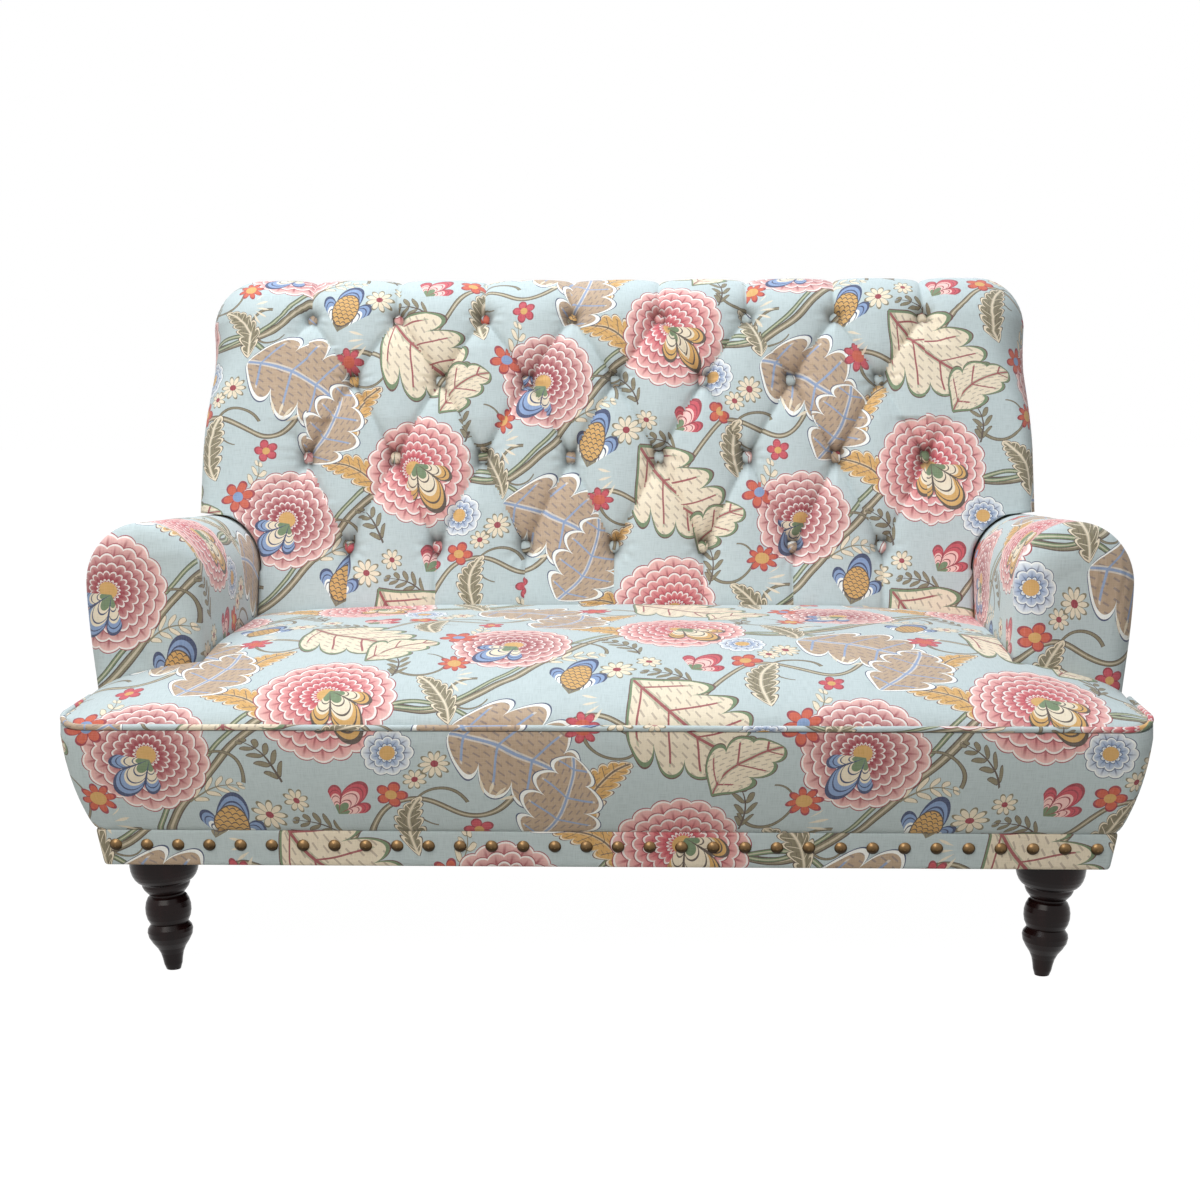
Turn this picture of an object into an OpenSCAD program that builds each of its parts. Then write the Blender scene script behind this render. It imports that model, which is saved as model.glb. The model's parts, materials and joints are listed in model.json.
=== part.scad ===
// Tufted roll-back loveseat with rolled arms, a sprung tight seat, a nailed base
// band and turned front legs. Millimetres. X runs to the sitter's left as seen from
// the front (right in a front view), the front faces -Y, and Z is up from the floor.

/* [Overall] */
// Width over the two arm rolls
overall_w = 1452; // [1352:4:1652]
// Depth from the piped front edge to the rear of the back roll
overall_d = 860; // [820:5:940]
// Height of the top of the back roll above the floor
overall_h = 960; // [930:5:1010]

/* [Seat] */
// How far the seat's piping stands in from the outer sides of the arm rolls
seat_in = 4; // [0:1:20]
// Height of the seat's crown above the floor
seat_h = 450; // [425:1:470]
// Height of the centre of the seat's piping above the floor
edge_h = 357; // [345:1:365]
// Diameter of the piping
welt_d = 8; // [6:0.5:10]
// Plan radius of the seat's front corners
corner_r = 36; // [24:1:50]
// How far the piped edge stands out from the top of the base band
border_flare = 40; // [24:1:48]
// Height of the nailed base band
band_h = 50; // [44:1:60]
// Thickness of the base band's fabric and backing at its lower edge
band_t = 3; // [2:0.5:5]
// How far the band's top edge stands out from its lower edge
band_lean = 9; // [3:0.5:12]

/* [Arms] */
// Width of an arm roll
arm_w = 163; // [135:1:185]
// Height of the top of the arm roll above the floor
arm_h = 612; // [590:1:630]
// Height of the arm roll's upper curve above its widest level
arm_roll_h = 86; // [70:1:95]
// Fall of the arm roll toward the back, in degrees
arm_slope = 3.3; // [0:0.1:5]
// Distance of the arm's front from the seat's front edge
arm_setback = 166; // [140:1:200]
// Thickness of the arm's padding
arm_pad_t = 22; // [18:1:28]
// How far the arm's padded front is domed
arm_dome = 30; // [16:1:34]

/* [Back] */
// How far the sides of the back stand in from the outer sides of the arm rolls
back_in = 62; // [50:1:80]
// Angle of the back's front face from upright
back_rake = 16.6; // [12:0.2:20]
// Radius of the roll along the top of the back
roll_r = 86; // [80:1:92]
// How far the roll stands out behind the outside back
roll_overhang = 85; // [70:1:95]
// Width of the rounded end of the back roll, seen from the front
roll_end = 82; // [64:1:95]
// Thickness of the back's padding between the buttons
back_pad_t = 60; // [50:1:70]
// Distance between neighbouring buttons of a row
button_pitch = 141; // [126:0.5:150]
// Height of the lowest row of buttons above the floor
row_1 = 536; // [525:1:550]
// Height of the second row of buttons
row_2 = 676; // [660:1:690]
// Height of the third row of buttons
row_3 = 801; // [790:1:815]
// Depth of the button tufts
tuft_depth = 30; // [20:1:31]
// Depth of the folds between the buttons
fold_depth = 13; // [6:1:18]
// Diameter of a covered button
button_d = 21; // [16:1:26]
// Height of a covered button
button_h = 8; // [6:1:10]

/* [Legs] */
// Height of the legs below the frame
leg_h = 160; // [130:1:180]
// Diameter of the turned leg's top ring
leg_d = 94; // [80:1:100]
// Diameter of the turned leg's foot
foot_d = 26; // [22:1:34]
// Lean of the front legs, inward at the foot
leg_rake = 3.5; // [0:0.5:6]
// How far the legs' centres stand in from the sides of the seat box
leg_in = 76.5; // [72:0.5:110]
// Width of the square rear leg at its top
rear_leg_w = 50; // [44:1:56]
// Width of the square rear leg at the floor
rear_foot_w = 32; // [28:1:40]
// How far the rear foot stands behind the rear leg's top
rear_rake = 50; // [20:1:60]
// Diameter of the bolt that holds a leg
bolt_d = 8; // [6:1:10]

/* [Frame] */
// Thickness of the frame's boards
board_t = 28; // [22:1:32]
// Height of the seat rails
rail_h = 140; // [120:1:145]
// Thickness of the dust cover under the seat
cover_t = 1.5; // [1:0.5:2]
// Wire diameter of the seat springs
spring_d = 3.8; // [3:0.2:4.5]
// Width of a seat spring
spring_w = 50; // [44:1:60]
// Number of seat springs
spring_n = 8; // [6:1:9]
// Bends of each seat spring
spring_bends = 15; // [11:2:17]
// Thickness of the back's webbing
web_t = 2; // [1:0.5:3]
// Width of a webbing strap
web_w = 60; // [50:1:70]

/* [Nails] */
// Diameter of a nail head
nail_d = 17; // [12:0.5:20]
// Height of a nail head's dome
nail_h = 5; // [3:0.5:7]
// Distance between nail centres along the band
nail_pitch = 42.2; // [30:0.1:60]

/* [Hidden] */

print_blue = [0.62, 0.71, 0.72];
wood_dark = [0.13, 0.06, 0.05];
beech = [0.78, 0.63, 0.45];
steel = [0.62, 0.62, 0.63];
brass = [0.45, 0.31, 0.16];
jute = [0.70, 0.58, 0.40];
foam = [0.93, 0.88, 0.70];
cambric = [0.12, 0.12, 0.12];

gap = 0.3;             // clearance of a soft piece from its neighbour
panel_t = 4;           // thickness of the outside panels
hw = overall_w / 2;
seat_w = overall_w - 2 * seat_in;
y_front = -overall_d / 2;
y_rear = overall_d / 2;
welt_r = welt_d / 2;
lean = tan(back_rake);

// Seat box
rail_z0 = leg_h + cover_t;
rail_z1 = rail_z0 + rail_h;
crease_z = leg_h + band_h;
crease_x = seat_w / 2 - border_flare;
crease_y = y_front + border_flare;
leg_x = crease_x - leg_in;
foot_x = crease_x - band_lean;
foot_y = crease_y + band_lean;
rail_x = foot_x - band_t;
rail_y = foot_y + band_t;
panel_y = y_rear - roll_overhang;
rear_y = panel_y - panel_t;
inner_rail_x = rail_x - board_t;
inner_rail_y = rear_y - board_t;

// Seat upholstery
welt_x = seat_w / 2 - welt_r;
welt_y = y_front + welt_r;
edge_x = welt_x - welt_r - gap;
edge_y = welt_y + welt_r + gap;
edge_z = edge_h - welt_r - gap;
crown = seat_h - edge_h;
clip_t = 1.5;
spring_z = rail_z1 + clip_t + spring_d / 2;
deck_z = spring_z + spring_d / 2 + gap;
deck_t = 1.5;
slab_z0 = deck_z + deck_t;
slab_z1 = edge_z - gap;

// Arms
arm_x = hw - arm_w / 2;
arm_in = hw - arm_w;
arm_z = arm_h - arm_roll_h;
arm_y = y_front + arm_setback;
arm_z0 = rail_z1 + board_t + 4;
arm_seam = crease_z + 0.68 * (arm_z - crease_z);
arm_fall = tan(arm_slope);
stump_y = arm_y + arm_dome;
pad_end = rear_y - panel_t - gap;

// Back: the front face is a straight line that runs tangent into the roll
roll_k = cos(back_rake);
back_at_seat = y_rear - roll_r * (1 + roll_k * (1 - lean)) / roll_k
  - lean * (overall_h - seat_h + 10);
roll_y = y_rear - roll_r;
roll_z = overall_h - roll_r;
tangent_z = roll_z + roll_r * sin(back_rake);
roll_pad_t = 36;
roll_core_r = (roll_r - roll_pad_t) * cos(25) - 1;
roll_last = -70;
back_hw = hw - back_in;
post_in = back_hw - roll_end - 2;
post_out = post_in + board_t;
back_low_z = arm_z0;
back_wide_z = arm_h + 2 - arm_fall * (back_at_seat + lean * (arm_h - seat_h) - arm_y);
side_t = 20;
row_4_angle = 180 - back_rake - 6;
end_y = roll_y + roll_r * cos(roll_last);
end_z = roll_z + roll_r * sin(roll_last);

// Plain functions
function mix(a, b, t) = a + (b - a) * t;
function clamp01(t) = min(1, max(0, t));
function ease(t) = t * t * (3 - 2 * t);
function rev(v) = [for (i = [len(v) - 1 : -1 : 0]) v[i]];
function front_y(z) = back_at_seat + lean * (z - seat_h + 10);
function arc(c, r, a0, a1, n) =
  [for (i = [0 : n]) let (a = mix(a0, a1, i / n)) [c[0] + r * cos(a), c[1] + r * sin(a)]];

// Mirrors a piece drawn on the right to the left side
module on_side(side) {
  if (side < 0)
    mirror([1, 0, 0])
      children();
  else
    children();
}

module box(x0, x1, y0, y1, z0, z1) {
  translate([x0, y0, z0])
    cube([x1 - x0, y1 - y0, z1 - z0]);
}

// Extrudes an outline drawn in Y and Z from x0 to x1
module along_x(outline, x0, x1) {
  translate([x0, 0, 0])
    rotate([90, 0, 90])
      linear_extrude(x1 - x0)
        polygon(outline);
}

// Extrudes an outline drawn in X and Z from y0 to y1
module along_y(outline, y0, y1) {
  translate([0, y1, 0])
    rotate([90, 0, 0])
      linear_extrude(y1 - y0)
        polygon(outline);
}

// Closed skin over rings of equal length, with a flat face on each end. Where
// turned holds a true value, that cell is split along its other diagonal. With
// feet, each end fans out from the ring's first and last points.
module loft(rings, turned = [], feet = false) {
  n = len(rings[0]);
  m = len(rings);
  end_faces = feet ? fan(n) : [[for (j = [0 : n - 1]) j]];
  around = total([for (j = [0 : n - 1]) cross(rings[0][j], rings[0][(j + 1) % n])]);
  flip = around * (total(rings[1]) - total(rings[0])) < 0;
  skin = concat(
    end_faces,
    [for (i = [0 : m - 2]) for (j = [0 : n - 1]) for (k = [0, 1])
      let (a = i * n + j, b = i * n + (j + 1) % n, t = len(turned) > 0 && turned[i][j])
        t ? (k == 0 ? [a, a + n, b + n] : [a, b + n, b])
        : (k == 0 ? [a, a + n, b] : [b, a + n, b + n])],
    [for (f = end_faces) [for (j = rev(f)) (m - 1) * n + j]]
  );
  polyhedron(
    points = [for (r = rings) for (p = r) p],
    faces = [for (f = skin) flip ? rev(f) : f]
  );
}
function total(v, i = 0) = i == len(v) - 1 ? v[i] : v[i] + total(v, i + 1);
function fan(n) =
  let (middle = (n - 1) / 2)
  concat(
    [for (j = [1 : middle - 1]) [0, j, j + 1]],
    [[0, middle, n - 1]],
    [for (j = [middle : n - 3]) [j, j + 1, n - 1]]
  );

// Frame
module front_rail() {
  color(beech)
    box(-rail_x, rail_x, rail_y, rail_y + board_t, rail_z0, rail_z1);
}

module rear_rail() {
  color(beech)
    box(-rail_x, rail_x, inner_rail_y, rear_y, rail_z0, rail_z1);
}

module side_rail(side) {
  color(beech)
    on_side(side)
      box(inner_rail_x, rail_x, rail_y + board_t, inner_rail_y, rail_z0, rail_z1);
}

module centre_rail() {
  color(beech)
    box(-board_t / 2, board_t / 2, rail_y + board_t, inner_rail_y,
      rail_z0, rail_z1 - centre_drop);
}

centre_drop = 40;
block_h = 60;
block_w = 130;
block_t = 30;
module corner_block(y, toward) {
  difference() {
    translate([inner_rail_x, y, rail_z0])
      linear_extrude(block_h)
        polygon([[0, 0], [-block_w, 0], [-block_w, toward * block_t],
          [-block_t, toward * block_w], [0, toward * block_w]]);
    translate([leg_x, toward > 0 ? leg_y : rear_leg_y, rail_z0 - 1])
      cylinder(d = bolt_d + 0.2, h = block_h + 2, $fn = 32);
  }
}

module front_corner_blocks() {
  color(beech)
    for (s = [-1, 1])
      on_side(s)
        corner_block(rail_y + board_t, 1);
}

module rear_corner_blocks() {
  color(beech)
    for (s = [-1, 1])
      on_side(s)
        corner_block(inner_rail_y, -1);
}

// Front edge of the back's frame, behind the padding
function pad_t(z) = mix(back_pad_t, roll_pad_t, ease(clamp01((z - row_2) / (tangent_z - row_2))));
function frame_y(z) = front_y(z) + (pad_t(z) + web_t + 3 * gap) / roll_k;
function panel_in_y(z) =
  z < back_wide_z ? rear_y
  : mix(rear_y, end_y - panel_t, (z - back_wide_z) / (end_z - back_wide_z));

tongue_z = rail_z0 + block_h + 14;
tongue_l = 80;
post_step = 60;
tack_up = 30;
function post_outline() = concat(
  [[inner_rail_y, tongue_z], [inner_rail_y, rail_z1], [rear_y - 1, rail_z1]],
  [[rear_y - 1, back_wide_z], [panel_in_y(end_z - 20) - 2, end_z - 20]],
  arc([roll_y, roll_z], roll_core_r - 8, -80, 180 - back_rake, 14),
  [for (z = [tangent_z - 40 : -post_step : rail_z1 + post_step]) [frame_y(z), z]],
  [[frame_y(rail_z1 + tack_up), rail_z1 + tack_up], [inner_rail_y - tongue_l, tongue_z]]
);

module back_post(side) {
  color(beech)
    on_side(side)
      along_x(post_outline(), post_in, post_out);
}

bottom_rail_z = rail_z1 + 2 * tack_up;
bottom_rail_h = 70;
bottom_rail_top = bottom_rail_z + bottom_rail_h;
module back_bottom_rail() {
  color(beech)
    box(-post_in, post_in, frame_y(bottom_rail_top), frame_y(bottom_rail_top) + board_t,
      bottom_rail_z, bottom_rail_top);
}

top_rail_h = 60;
module back_top_rail() {
  color(beech)
    box(-post_in, post_in, roll_y - board_t / 2, roll_y + board_t / 2,
      roll_z - top_rail_h / 2, roll_z + top_rail_h / 2);
}

upright_x = post_in / 3;
module back_uprights() {
  z0 = bottom_rail_top;
  z1 = roll_z - top_rail_h / 2;
  color(beech)
    for (s = [-1, 1])
      along_x([[frame_y(z0) + 1, z0], [frame_y(z0) + board_t, z0],
        [roll_y + board_t / 2, z1], [roll_y - board_t / 2, z1]],
        s * upright_x - board_t, s * upright_x + board_t);
}

former_t = 18;
module roll_formers() {
  beside = upright_x + board_t + former_t / 2;
  color(beech)
    for (x = [-post_in + former_t / 2, -beside, 0, beside, post_in - former_t / 2])
      difference() {
        translate([x - former_t / 2, roll_y, roll_z])
          rotate([0, 90, 0])
            cylinder(r = roll_core_r, h = former_t, $fn = 96);
        box(x - former_t, x + former_t, roll_y - board_t / 2, roll_y + board_t / 2,
          roll_z - roll_r, roll_z + top_rail_h / 2);
      }
}

// Arm frame
// Outline of the arm in X and Z, drawn in by a distance
function arm_out_x(z) =
  let (t = clamp01((z - crease_z) / (arm_z - crease_z)))
    crease_x + (hw - crease_x) * (1 - pow(1 - t, 1.6));
function arm_top(y) = arm_z - arm_fall * (y - arm_y);
function arm_outline(o, z0, y) = concat(
  [[arm_in + gap + o, z0]],
  arm_arc(o, arm_top(y), 18),
  [for (z = [(arm_top(y) + arm_seam) / 2, arm_seam, (arm_seam + z0) / 2, z0])
    [arm_out_x(z) - o, z]]
);
function arm_arc(o, z, n) =
  [for (i = [0 : n]) let (a = mix(180, 0, i / n), rx = (arm_w - gap) / 2 - o)
    [arm_x + gap / 2 + rx * cos(a), z + (arm_roll_h - o) * sin(a)]];

inner_o = arm_pad_t + 0.5;
module arm_stump(side) {
  color(beech)
    on_side(side)
      union() {
        along_y(arm_outline(inner_o, rail_z1, stump_y + board_t), stump_y, stump_y + board_t);
        box(inner_rail_x - board_t, inner_rail_x, stump_y, stump_y + board_t,
          rail_z0 + block_h, rail_z1);
      }
}

arm_rail_h = 45;
arm_rail_w = 46;
arm_rail_z = arm_top(pad_end) - 10;
module arm_rail(side) {
  color(beech)
    on_side(side)
      box(post_out, post_out + arm_rail_w, stump_y + board_t, pad_end - 16,
        arm_rail_z, arm_rail_z + arm_rail_h);
}

tack_w = 25;
tack_x = arm_in + inner_o + gap;
module tack_rail(side) {
  color(beech)
    on_side(side)
      box(tack_x, tack_x + tack_w, stump_y + board_t, frame_y(rail_z1 + tack_up) - 2,
        rail_z1, rail_z1 + board_t);
}

// Springs and platform
spring_hold = 8;
spring_run = inner_rail_y - rail_y - board_t + 2 * spring_hold;
spring_p = floor(5 * spring_run / spring_bends) / 5;
spring_side = 60;
spring_gap = 2 * (inner_rail_x - spring_side) / spring_n;
spring_y = (rail_y + board_t + inner_rail_y - spring_bends * spring_p) / 2;

// Flat wire spring: straight runs joined by half-circle bends
module zigzag_spring() {
  x1 = spring_w / 2 - spring_p / 2;
  union() {
    for (i = [0 : spring_bends - 1])
      translate([i % 2 == 0 ? x1 : -x1, (i + 0.5) * spring_p, 0])
        rotate([0, 0, i % 2 == 0 ? -90 : 90])
          rotate_extrude(angle = 180, $fn = 24)
            translate([spring_p / 2, 0])
              circle(d = spring_d, $fn = 16);
    for (i = [0 : spring_bends])
      translate([-x1, i * spring_p, 0])
        rotate([0, 90, 0])
          cylinder(d = spring_d, h = 2 * x1, $fn = 16);
  }
}

module seat_springs() {
  color(steel)
    for (i = [0 : spring_n - 1])
      translate([(i - (spring_n - 1) / 2) * spring_gap, spring_y, spring_z])
        zigzag_spring();
}

clip_w = 22;
clip_l = 16;
module spring_clips() {
  color(steel)
    for (i = [0 : spring_n - 1])
      for (y = [rail_y + board_t - clip_l, inner_rail_y])
        translate([(i - (spring_n - 1) / 2) * spring_gap - clip_w / 2, y, rail_z1])
          cube([clip_w, clip_l, clip_t]);
}

// Straps of the back, from its bottom rail up to the top rail
module back_webbing() {
  z0 = bottom_rail_z + 10;
  z1 = tangent_z - 60;
  steps = 10;
  strap_gap = 2 * upright_x / 3;
  levels = [for (k = [0 : steps]) mix(z0, z1, k / steps)];
  color(jute)
    for (i = [-4 : 4])
      along_x(concat([for (z = levels) [frame_y(z) - gap - web_t, z]],
        [for (z = rev(levels)) [frame_y(z) - gap, z]]),
        i * strap_gap - web_w / 2, i * strap_gap + web_w / 2);
}

back_clear = 8;
deck_in = 4;
module seat_deck() {
  color(jute)
    box(-arm_in + gap, arm_in - gap, rail_y + deck_in, front_y(rail_z1) - back_clear,
      deck_z, deck_z + deck_t);
}

module seat_foam() {
  color(foam)
    union() {
      box(-arm_in + gap, arm_in - gap, rail_y + gap, front_y(slab_z0) - back_clear,
        slab_z0, slab_z1);
      for (s = [-1, 1])
        on_side(s)
          box(arm_in - gap, rail_x, rail_y + gap, arm_y - gap, slab_z0, slab_z1);
    }
}

// Crowned seat
seat_len = 320;
function crown_y(y) =
  let (d = clamp01((y - edge_y) / seat_len)) pow(1 - pow(1 - d, 2), 0.6);
function crown_x(x) = pow(max(0, 1 - pow(abs(x) / (edge_x + 6), 4)), 0.47);
function seat_lip(x) = edge_h + 1 + 1.5 * (1 - pow(x / seat_w * 2, 2));
function seat_top(x, y) = max(seat_lip(x), edge_h + crown * crown_y(y) * crown_x(x));

// Half width of the seat at a distance from the front, with rounded corners
function seat_half(y) =
  let (d = y - edge_y)
    d < corner_r ? edge_x - corner_r + sqrt(max(0, corner_r * corner_r - pow(corner_r - d, 2)))
    : edge_x;

n_ear = 4;
n_top = 10;
side_draw = 3;
// Ring across the seat: the bottom edge, the ear or the side wall, then the crown
function seat_half_ring(y, w, y_bottom) =
  let (inner = arm_in - gap)
  concat(
    [[w > arm_in ? w : w - side_draw, y_bottom, edge_z]],
    w > arm_in
      ? [for (i = [0 : n_ear - 1]) let (t = i / n_ear, x = mix(w, inner, t))
          [x, y, t == 0 ? seat_lip(x) : seat_top(x, y)]]
      : [for (i = [0 : n_ear - 1]) let (t = (i + 1) / (n_ear + 1))
          [w - side_draw * (1 - sin(180 * t)), mix(y_bottom, y, t),
            mix(edge_z, seat_top(w, y) - 6, t)]],
    [for (i = [0 : n_top]) let (x = inner * (1 - i / n_top))
      [w > arm_in || i > 0 ? x : x - side_draw - 1, y, seat_top(x, y)]]
  );
function seat_ring(y, w, y_bottom) =
  let (h = seat_half_ring(y, w, y_bottom), n = len(h))
    concat(h, [for (i = [n - 2 : -1 : 0]) [-h[i][0], h[i][1], h[i][2]]]);

seat_back_y = front_y(seat_h) - 6;
module seat_pad() {
  front = [for (d = [0.4, 4, 12, 24, corner_r, 60, 95, 130]) edge_y + d];
  arm_line = arm_y - gap;
  inner = [for (t = [0, 0.12, 0.3, 0.5, 0.7, 0.88, 1]) mix(arm_line, seat_back_y, t)];
  color(print_blue)
    loft(concat(
      [for (y = front) seat_ring(y, seat_half(y), y)],
      [seat_ring(arm_line - 1, edge_x, arm_line - 1)],
      [for (y = inner) seat_ring(y, arm_in - gap,
        y > seat_back_y - 1 ? y - lean * (seat_h - edge_z) : min(y, seat_back_y - 60))]
    ), feet = true);
}

// Piping
// Tube along a flat path at one height
module pipe(path, r, sides) {
  n = len(path);
  rings = [for (i = [0 : n - 1])
    let (
      a = path[max(0, i - 1)],
      b = path[min(n - 1, i + 1)],
      d = (b - a) / norm(b - a)
    )
    [for (k = [0 : sides - 1])
      let (t = 360 * k / sides)
        [path[i][0] + r * cos(t) * d[1], path[i][1] - r * cos(t) * d[0],
          path[i][2] + r * sin(t)]]];
  loft(rings);
}

module seat_welt() {
  r = corner_r + welt_r;
  half = concat(
    [[welt_x, arm_y - gap], [welt_x, welt_y + r + 40]],
    arc([welt_x - r, welt_y + r], r, 0, -90, 6)
  );
  flat_path = concat(half, [for (p = rev(half)) [-p[0], p[1]]]);
  color(print_blue)
    pipe([for (p = flat_path) [p[0], p[1], edge_h]], welt_r, 10);
}

// Border and band
// Outline round the front of the seat box, open at its rear end
function u_path(x, y, y_end, r) = concat(
  [[x, y_end]], arc([x - r, y + r], r, 0, -90, 6),
  arc([-x + r, y + r], r, -90, -180, 6), [[-x, y_end]]
);

// Skirt round three sides of the seat box: a block lofted over its levels, each an
// outline and a height, with the room for the rails taken out
module skirt(levels, y_end, clear) {
  z0 = levels[0][1];
  z1 = levels[len(levels) - 1][1];
  difference() {
    loft([for (l = levels) lift_z(l[0], l[1])]);
    box(-rail_x - clear, rail_x + clear, rail_y - clear, y_end + 1, z0 - 1, z1 + 1);
  }
}
function lift_z(outline, z) = [for (p = outline) [p[0], p[1], z]];

module front_border() {
  z0 = crease_z + gap;
  z1 = edge_z - gap;
  y_end = arm_y - gap;
  color(print_blue)
    skirt([for (t = [0, 0.06, 0.2, 0.4, 0.6, 0.8, 1])
      let (o = border_flare * pow(t, 0.85) + 5 * sin(180 * t) - (t == 0 ? 2 : 0))
        [u_path(min(crease_x + o, edge_x), max(crease_y - o, edge_y), y_end,
          mix(12, corner_r, t)), mix(z0, z1, t)]], y_end, gap);
}

module base_band() {
  color(print_blue)
    skirt([for (t = [0, 0.5, 1])
      let (o = band_lean * t)
        [u_path(foot_x + o, foot_y - o, rear_y, mix(6, 10, t)), leg_h + band_h * t]],
      rear_y, gap / 2);
}

// Nails
nail_level = 0.585;
nail_z = leg_h + nail_level * band_h;
nail_out = band_lean * nail_level;
band_tilt = atan(band_lean / band_h);
nail_sphere = (pow(nail_d / 2, 2) + nail_h * nail_h) / (2 * nail_h);

// Domed head that faces -Y
module nail_head() {
  rotate([90 + band_tilt, 0, 0])
    translate([0, 0, gap])
      intersection() {
        translate([0, 0, nail_h - nail_sphere])
          sphere(r = nail_sphere, $fn = 48);
        cylinder(d = nail_d + 2, h = nail_h + 1, $fn = 48);
      }
}

module nail_heads() {
  front_n = floor((2 * foot_x - 30) / nail_pitch);
  side_n = floor((rear_y - foot_y - 40) / nail_pitch);
  color(brass) {
    for (i = [0 : front_n])
      translate([(i - front_n / 2) * nail_pitch, foot_y - nail_out, nail_z])
        nail_head();
    for (s = [-1, 1])
      for (i = [0 : side_n - 1])
        translate([s * (foot_x + nail_out), foot_y + 30 + i * nail_pitch, nail_z])
          rotate([0, 0, s * 90])
            nail_head();
  }
}

// Arm upholstery
function lift(outline, y) = [for (p = outline) [p[0], y, p[1]]];

// Room behind the back's frame line, where the post and the back's rail stand
module post_room() {
  along_x([[frame_y(arm_z0) - 2, arm_z0 - 1], [frame_y(arm_h) - 2, arm_h + 1],
    [rear_y + 1, arm_h + 1], [rear_y + 1, arm_z0 - 1]],
    arm_in - 1, post_out + gap);
}

// Padding over the arm's inner side and its roll, down to the seam on its outer side
module arm_pad(side) {
  color(print_blue)
    on_side(side)
      difference() {
        loft([for (y = [pad_end, stump_y]) lift(arm_outline(0, arm_z0, y), y)]);
        loft([for (y = [pad_end + 1, stump_y - 1])
          lift(arm_outline(arm_pad_t, arm_z0 - 1, y), y)]);
        box(arm_x, hw + 1, stump_y - 1, pad_end + 1, arm_z0 - 1, arm_seam);
        post_room();
      }
}

// Domed front of the arm, over the front of the stump
module arm_front(side) {
  steps = 6;
  color(print_blue)
    on_side(side)
      loft([for (k = [0 : steps])
        let (a = 90 * k / steps, o = (arm_dome + 6) * (1 - sin(a)),
          y = mix(stump_y - gap, arm_y, cos(a)))
          lift(arm_outline(o, arm_z0 - 12 + o / 2, y), y)]);
}

module arm_rear(side) {
  color(print_blue)
    on_side(side)
      difference() {
        along_y(arm_outline(panel_t + 2 * gap, arm_z0, rear_y), pad_end + gap, rear_y);
        post_room();
      }
}

module outside_arm(side) {
  z = [for (t = [0, 0.33, 0.66, 1]) mix(crease_z + gap, arm_seam - gap, t)];
  color(print_blue)
    on_side(side)
      difference() {
        along_y(concat([for (h = z) [arm_out_x(h) - panel_t, h]],
          [for (i = [3 : -1 : 0]) [arm_out_x(z[i]), z[i]]]),
          arm_y, rear_y);
        box(arm_in, hw, arm_y - 1, stump_y, arm_z0 - 14, arm_z);
      }
}

// Tufted back
rows = [row_1, row_2, row_3];
half_pitch = button_pitch / 2;
// Height along the face of each row, counted in rows
function row_of(z) =
  z < row_2 ? (z - row_1) / (row_2 - row_1)
  : z < row_3 ? 1 + (z - row_2) / (row_3 - row_2)
  : 2 + (z - row_3) / (tangent_z + 6 - row_3);

// Distance of a value from the nearest whole number
function off_whole(v) = abs(v - round(v));
function button_x(row, i) = (row % 2 == 0 ? i * button_pitch : (i + 0.5) * button_pitch);
function button_reach(row) = row % 2 == 0 ? 3 * button_pitch : 3.5 * button_pitch;

// How near a place is to the folds, which run from button to button
function fold_a(x, v) = off_whole((x / half_pitch + v) / 2);
function fold_b(x, v) = off_whole((x / half_pitch - v) / 2);

// How far the face is drawn in at a place across it and along its rows
function tuft(x, v) =
  let (
    row = min(3, max(0, round(v))),
    reach = button_reach(row),
    near = off_whole(x / button_pitch - (row % 2 == 0 ? 0 : 0.5)) * button_pitch,
    r = norm([near, (v - row) * 130]),
    button = abs(x) < reach + 1 ? (tuft_depth - fold_depth) * exp(-r * r / 260) : 0,
    inside = clamp01((reach + half_pitch - abs(x)) / half_pitch),
    off = v < 0 || v > 3 ? near / half_pitch : 2 * min(fold_a(x, v), fold_b(x, v)),
    fade = v < 0 ? clamp01(1 + v / 2) : v > 3 ? clamp01(1 - (v - 3) / 2.4) : 1
  )
    button + inside * fade * fold_depth * pow(1 - clamp01(off), 2.2);

// Stations up the front face and round the roll: depth direction, base point, row
roll_turns = [128, 90, 45, 0, -40, roll_last];
function stations() = concat(
  [face_at(back_low_z), face_at(row_1 - 36), face_at(row_1)],
  [for (t = [0.5, 0.8, 0.95, 1]) face_at(mix(row_1, back_wide_z, t))],
  [face_at(mix(row_1, row_2, 2 / 3))],
  [for (i = [0 : 2]) face_at(mix(row_2, row_3, i / 3))],
  [for (i = [0 : 2]) face_at(mix(row_3, tangent_z + 6, i / 3))],
  [roll_at(row_4_angle)],
  [for (a = roll_turns) roll_at(a)]
);
function face_at(z) =
  let (
    turn = ease(clamp01((z - row_2) / (tangent_z - row_2))),
    a = -max(arm_slope, back_rake * turn),
    deep = mix(panel_in_y(z) - 4 - front_y(z), roll_r - 3, turn)
  )
    [[front_y(z), z], [cos(a), sin(a)], row_of(z), pad_t(z), deep, turn,
      z < back_wide_z ? 0 : 1];
function roll_at(a) =
  [[roll_y + roll_r * cos(a), roll_z + roll_r * sin(a)], [-cos(a), -sin(a)],
    3 + (row_4_angle - a) / 60, roll_pad_t, roll_r - 3, 1, 1];

n_face = 22;
n_round = 3;

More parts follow.
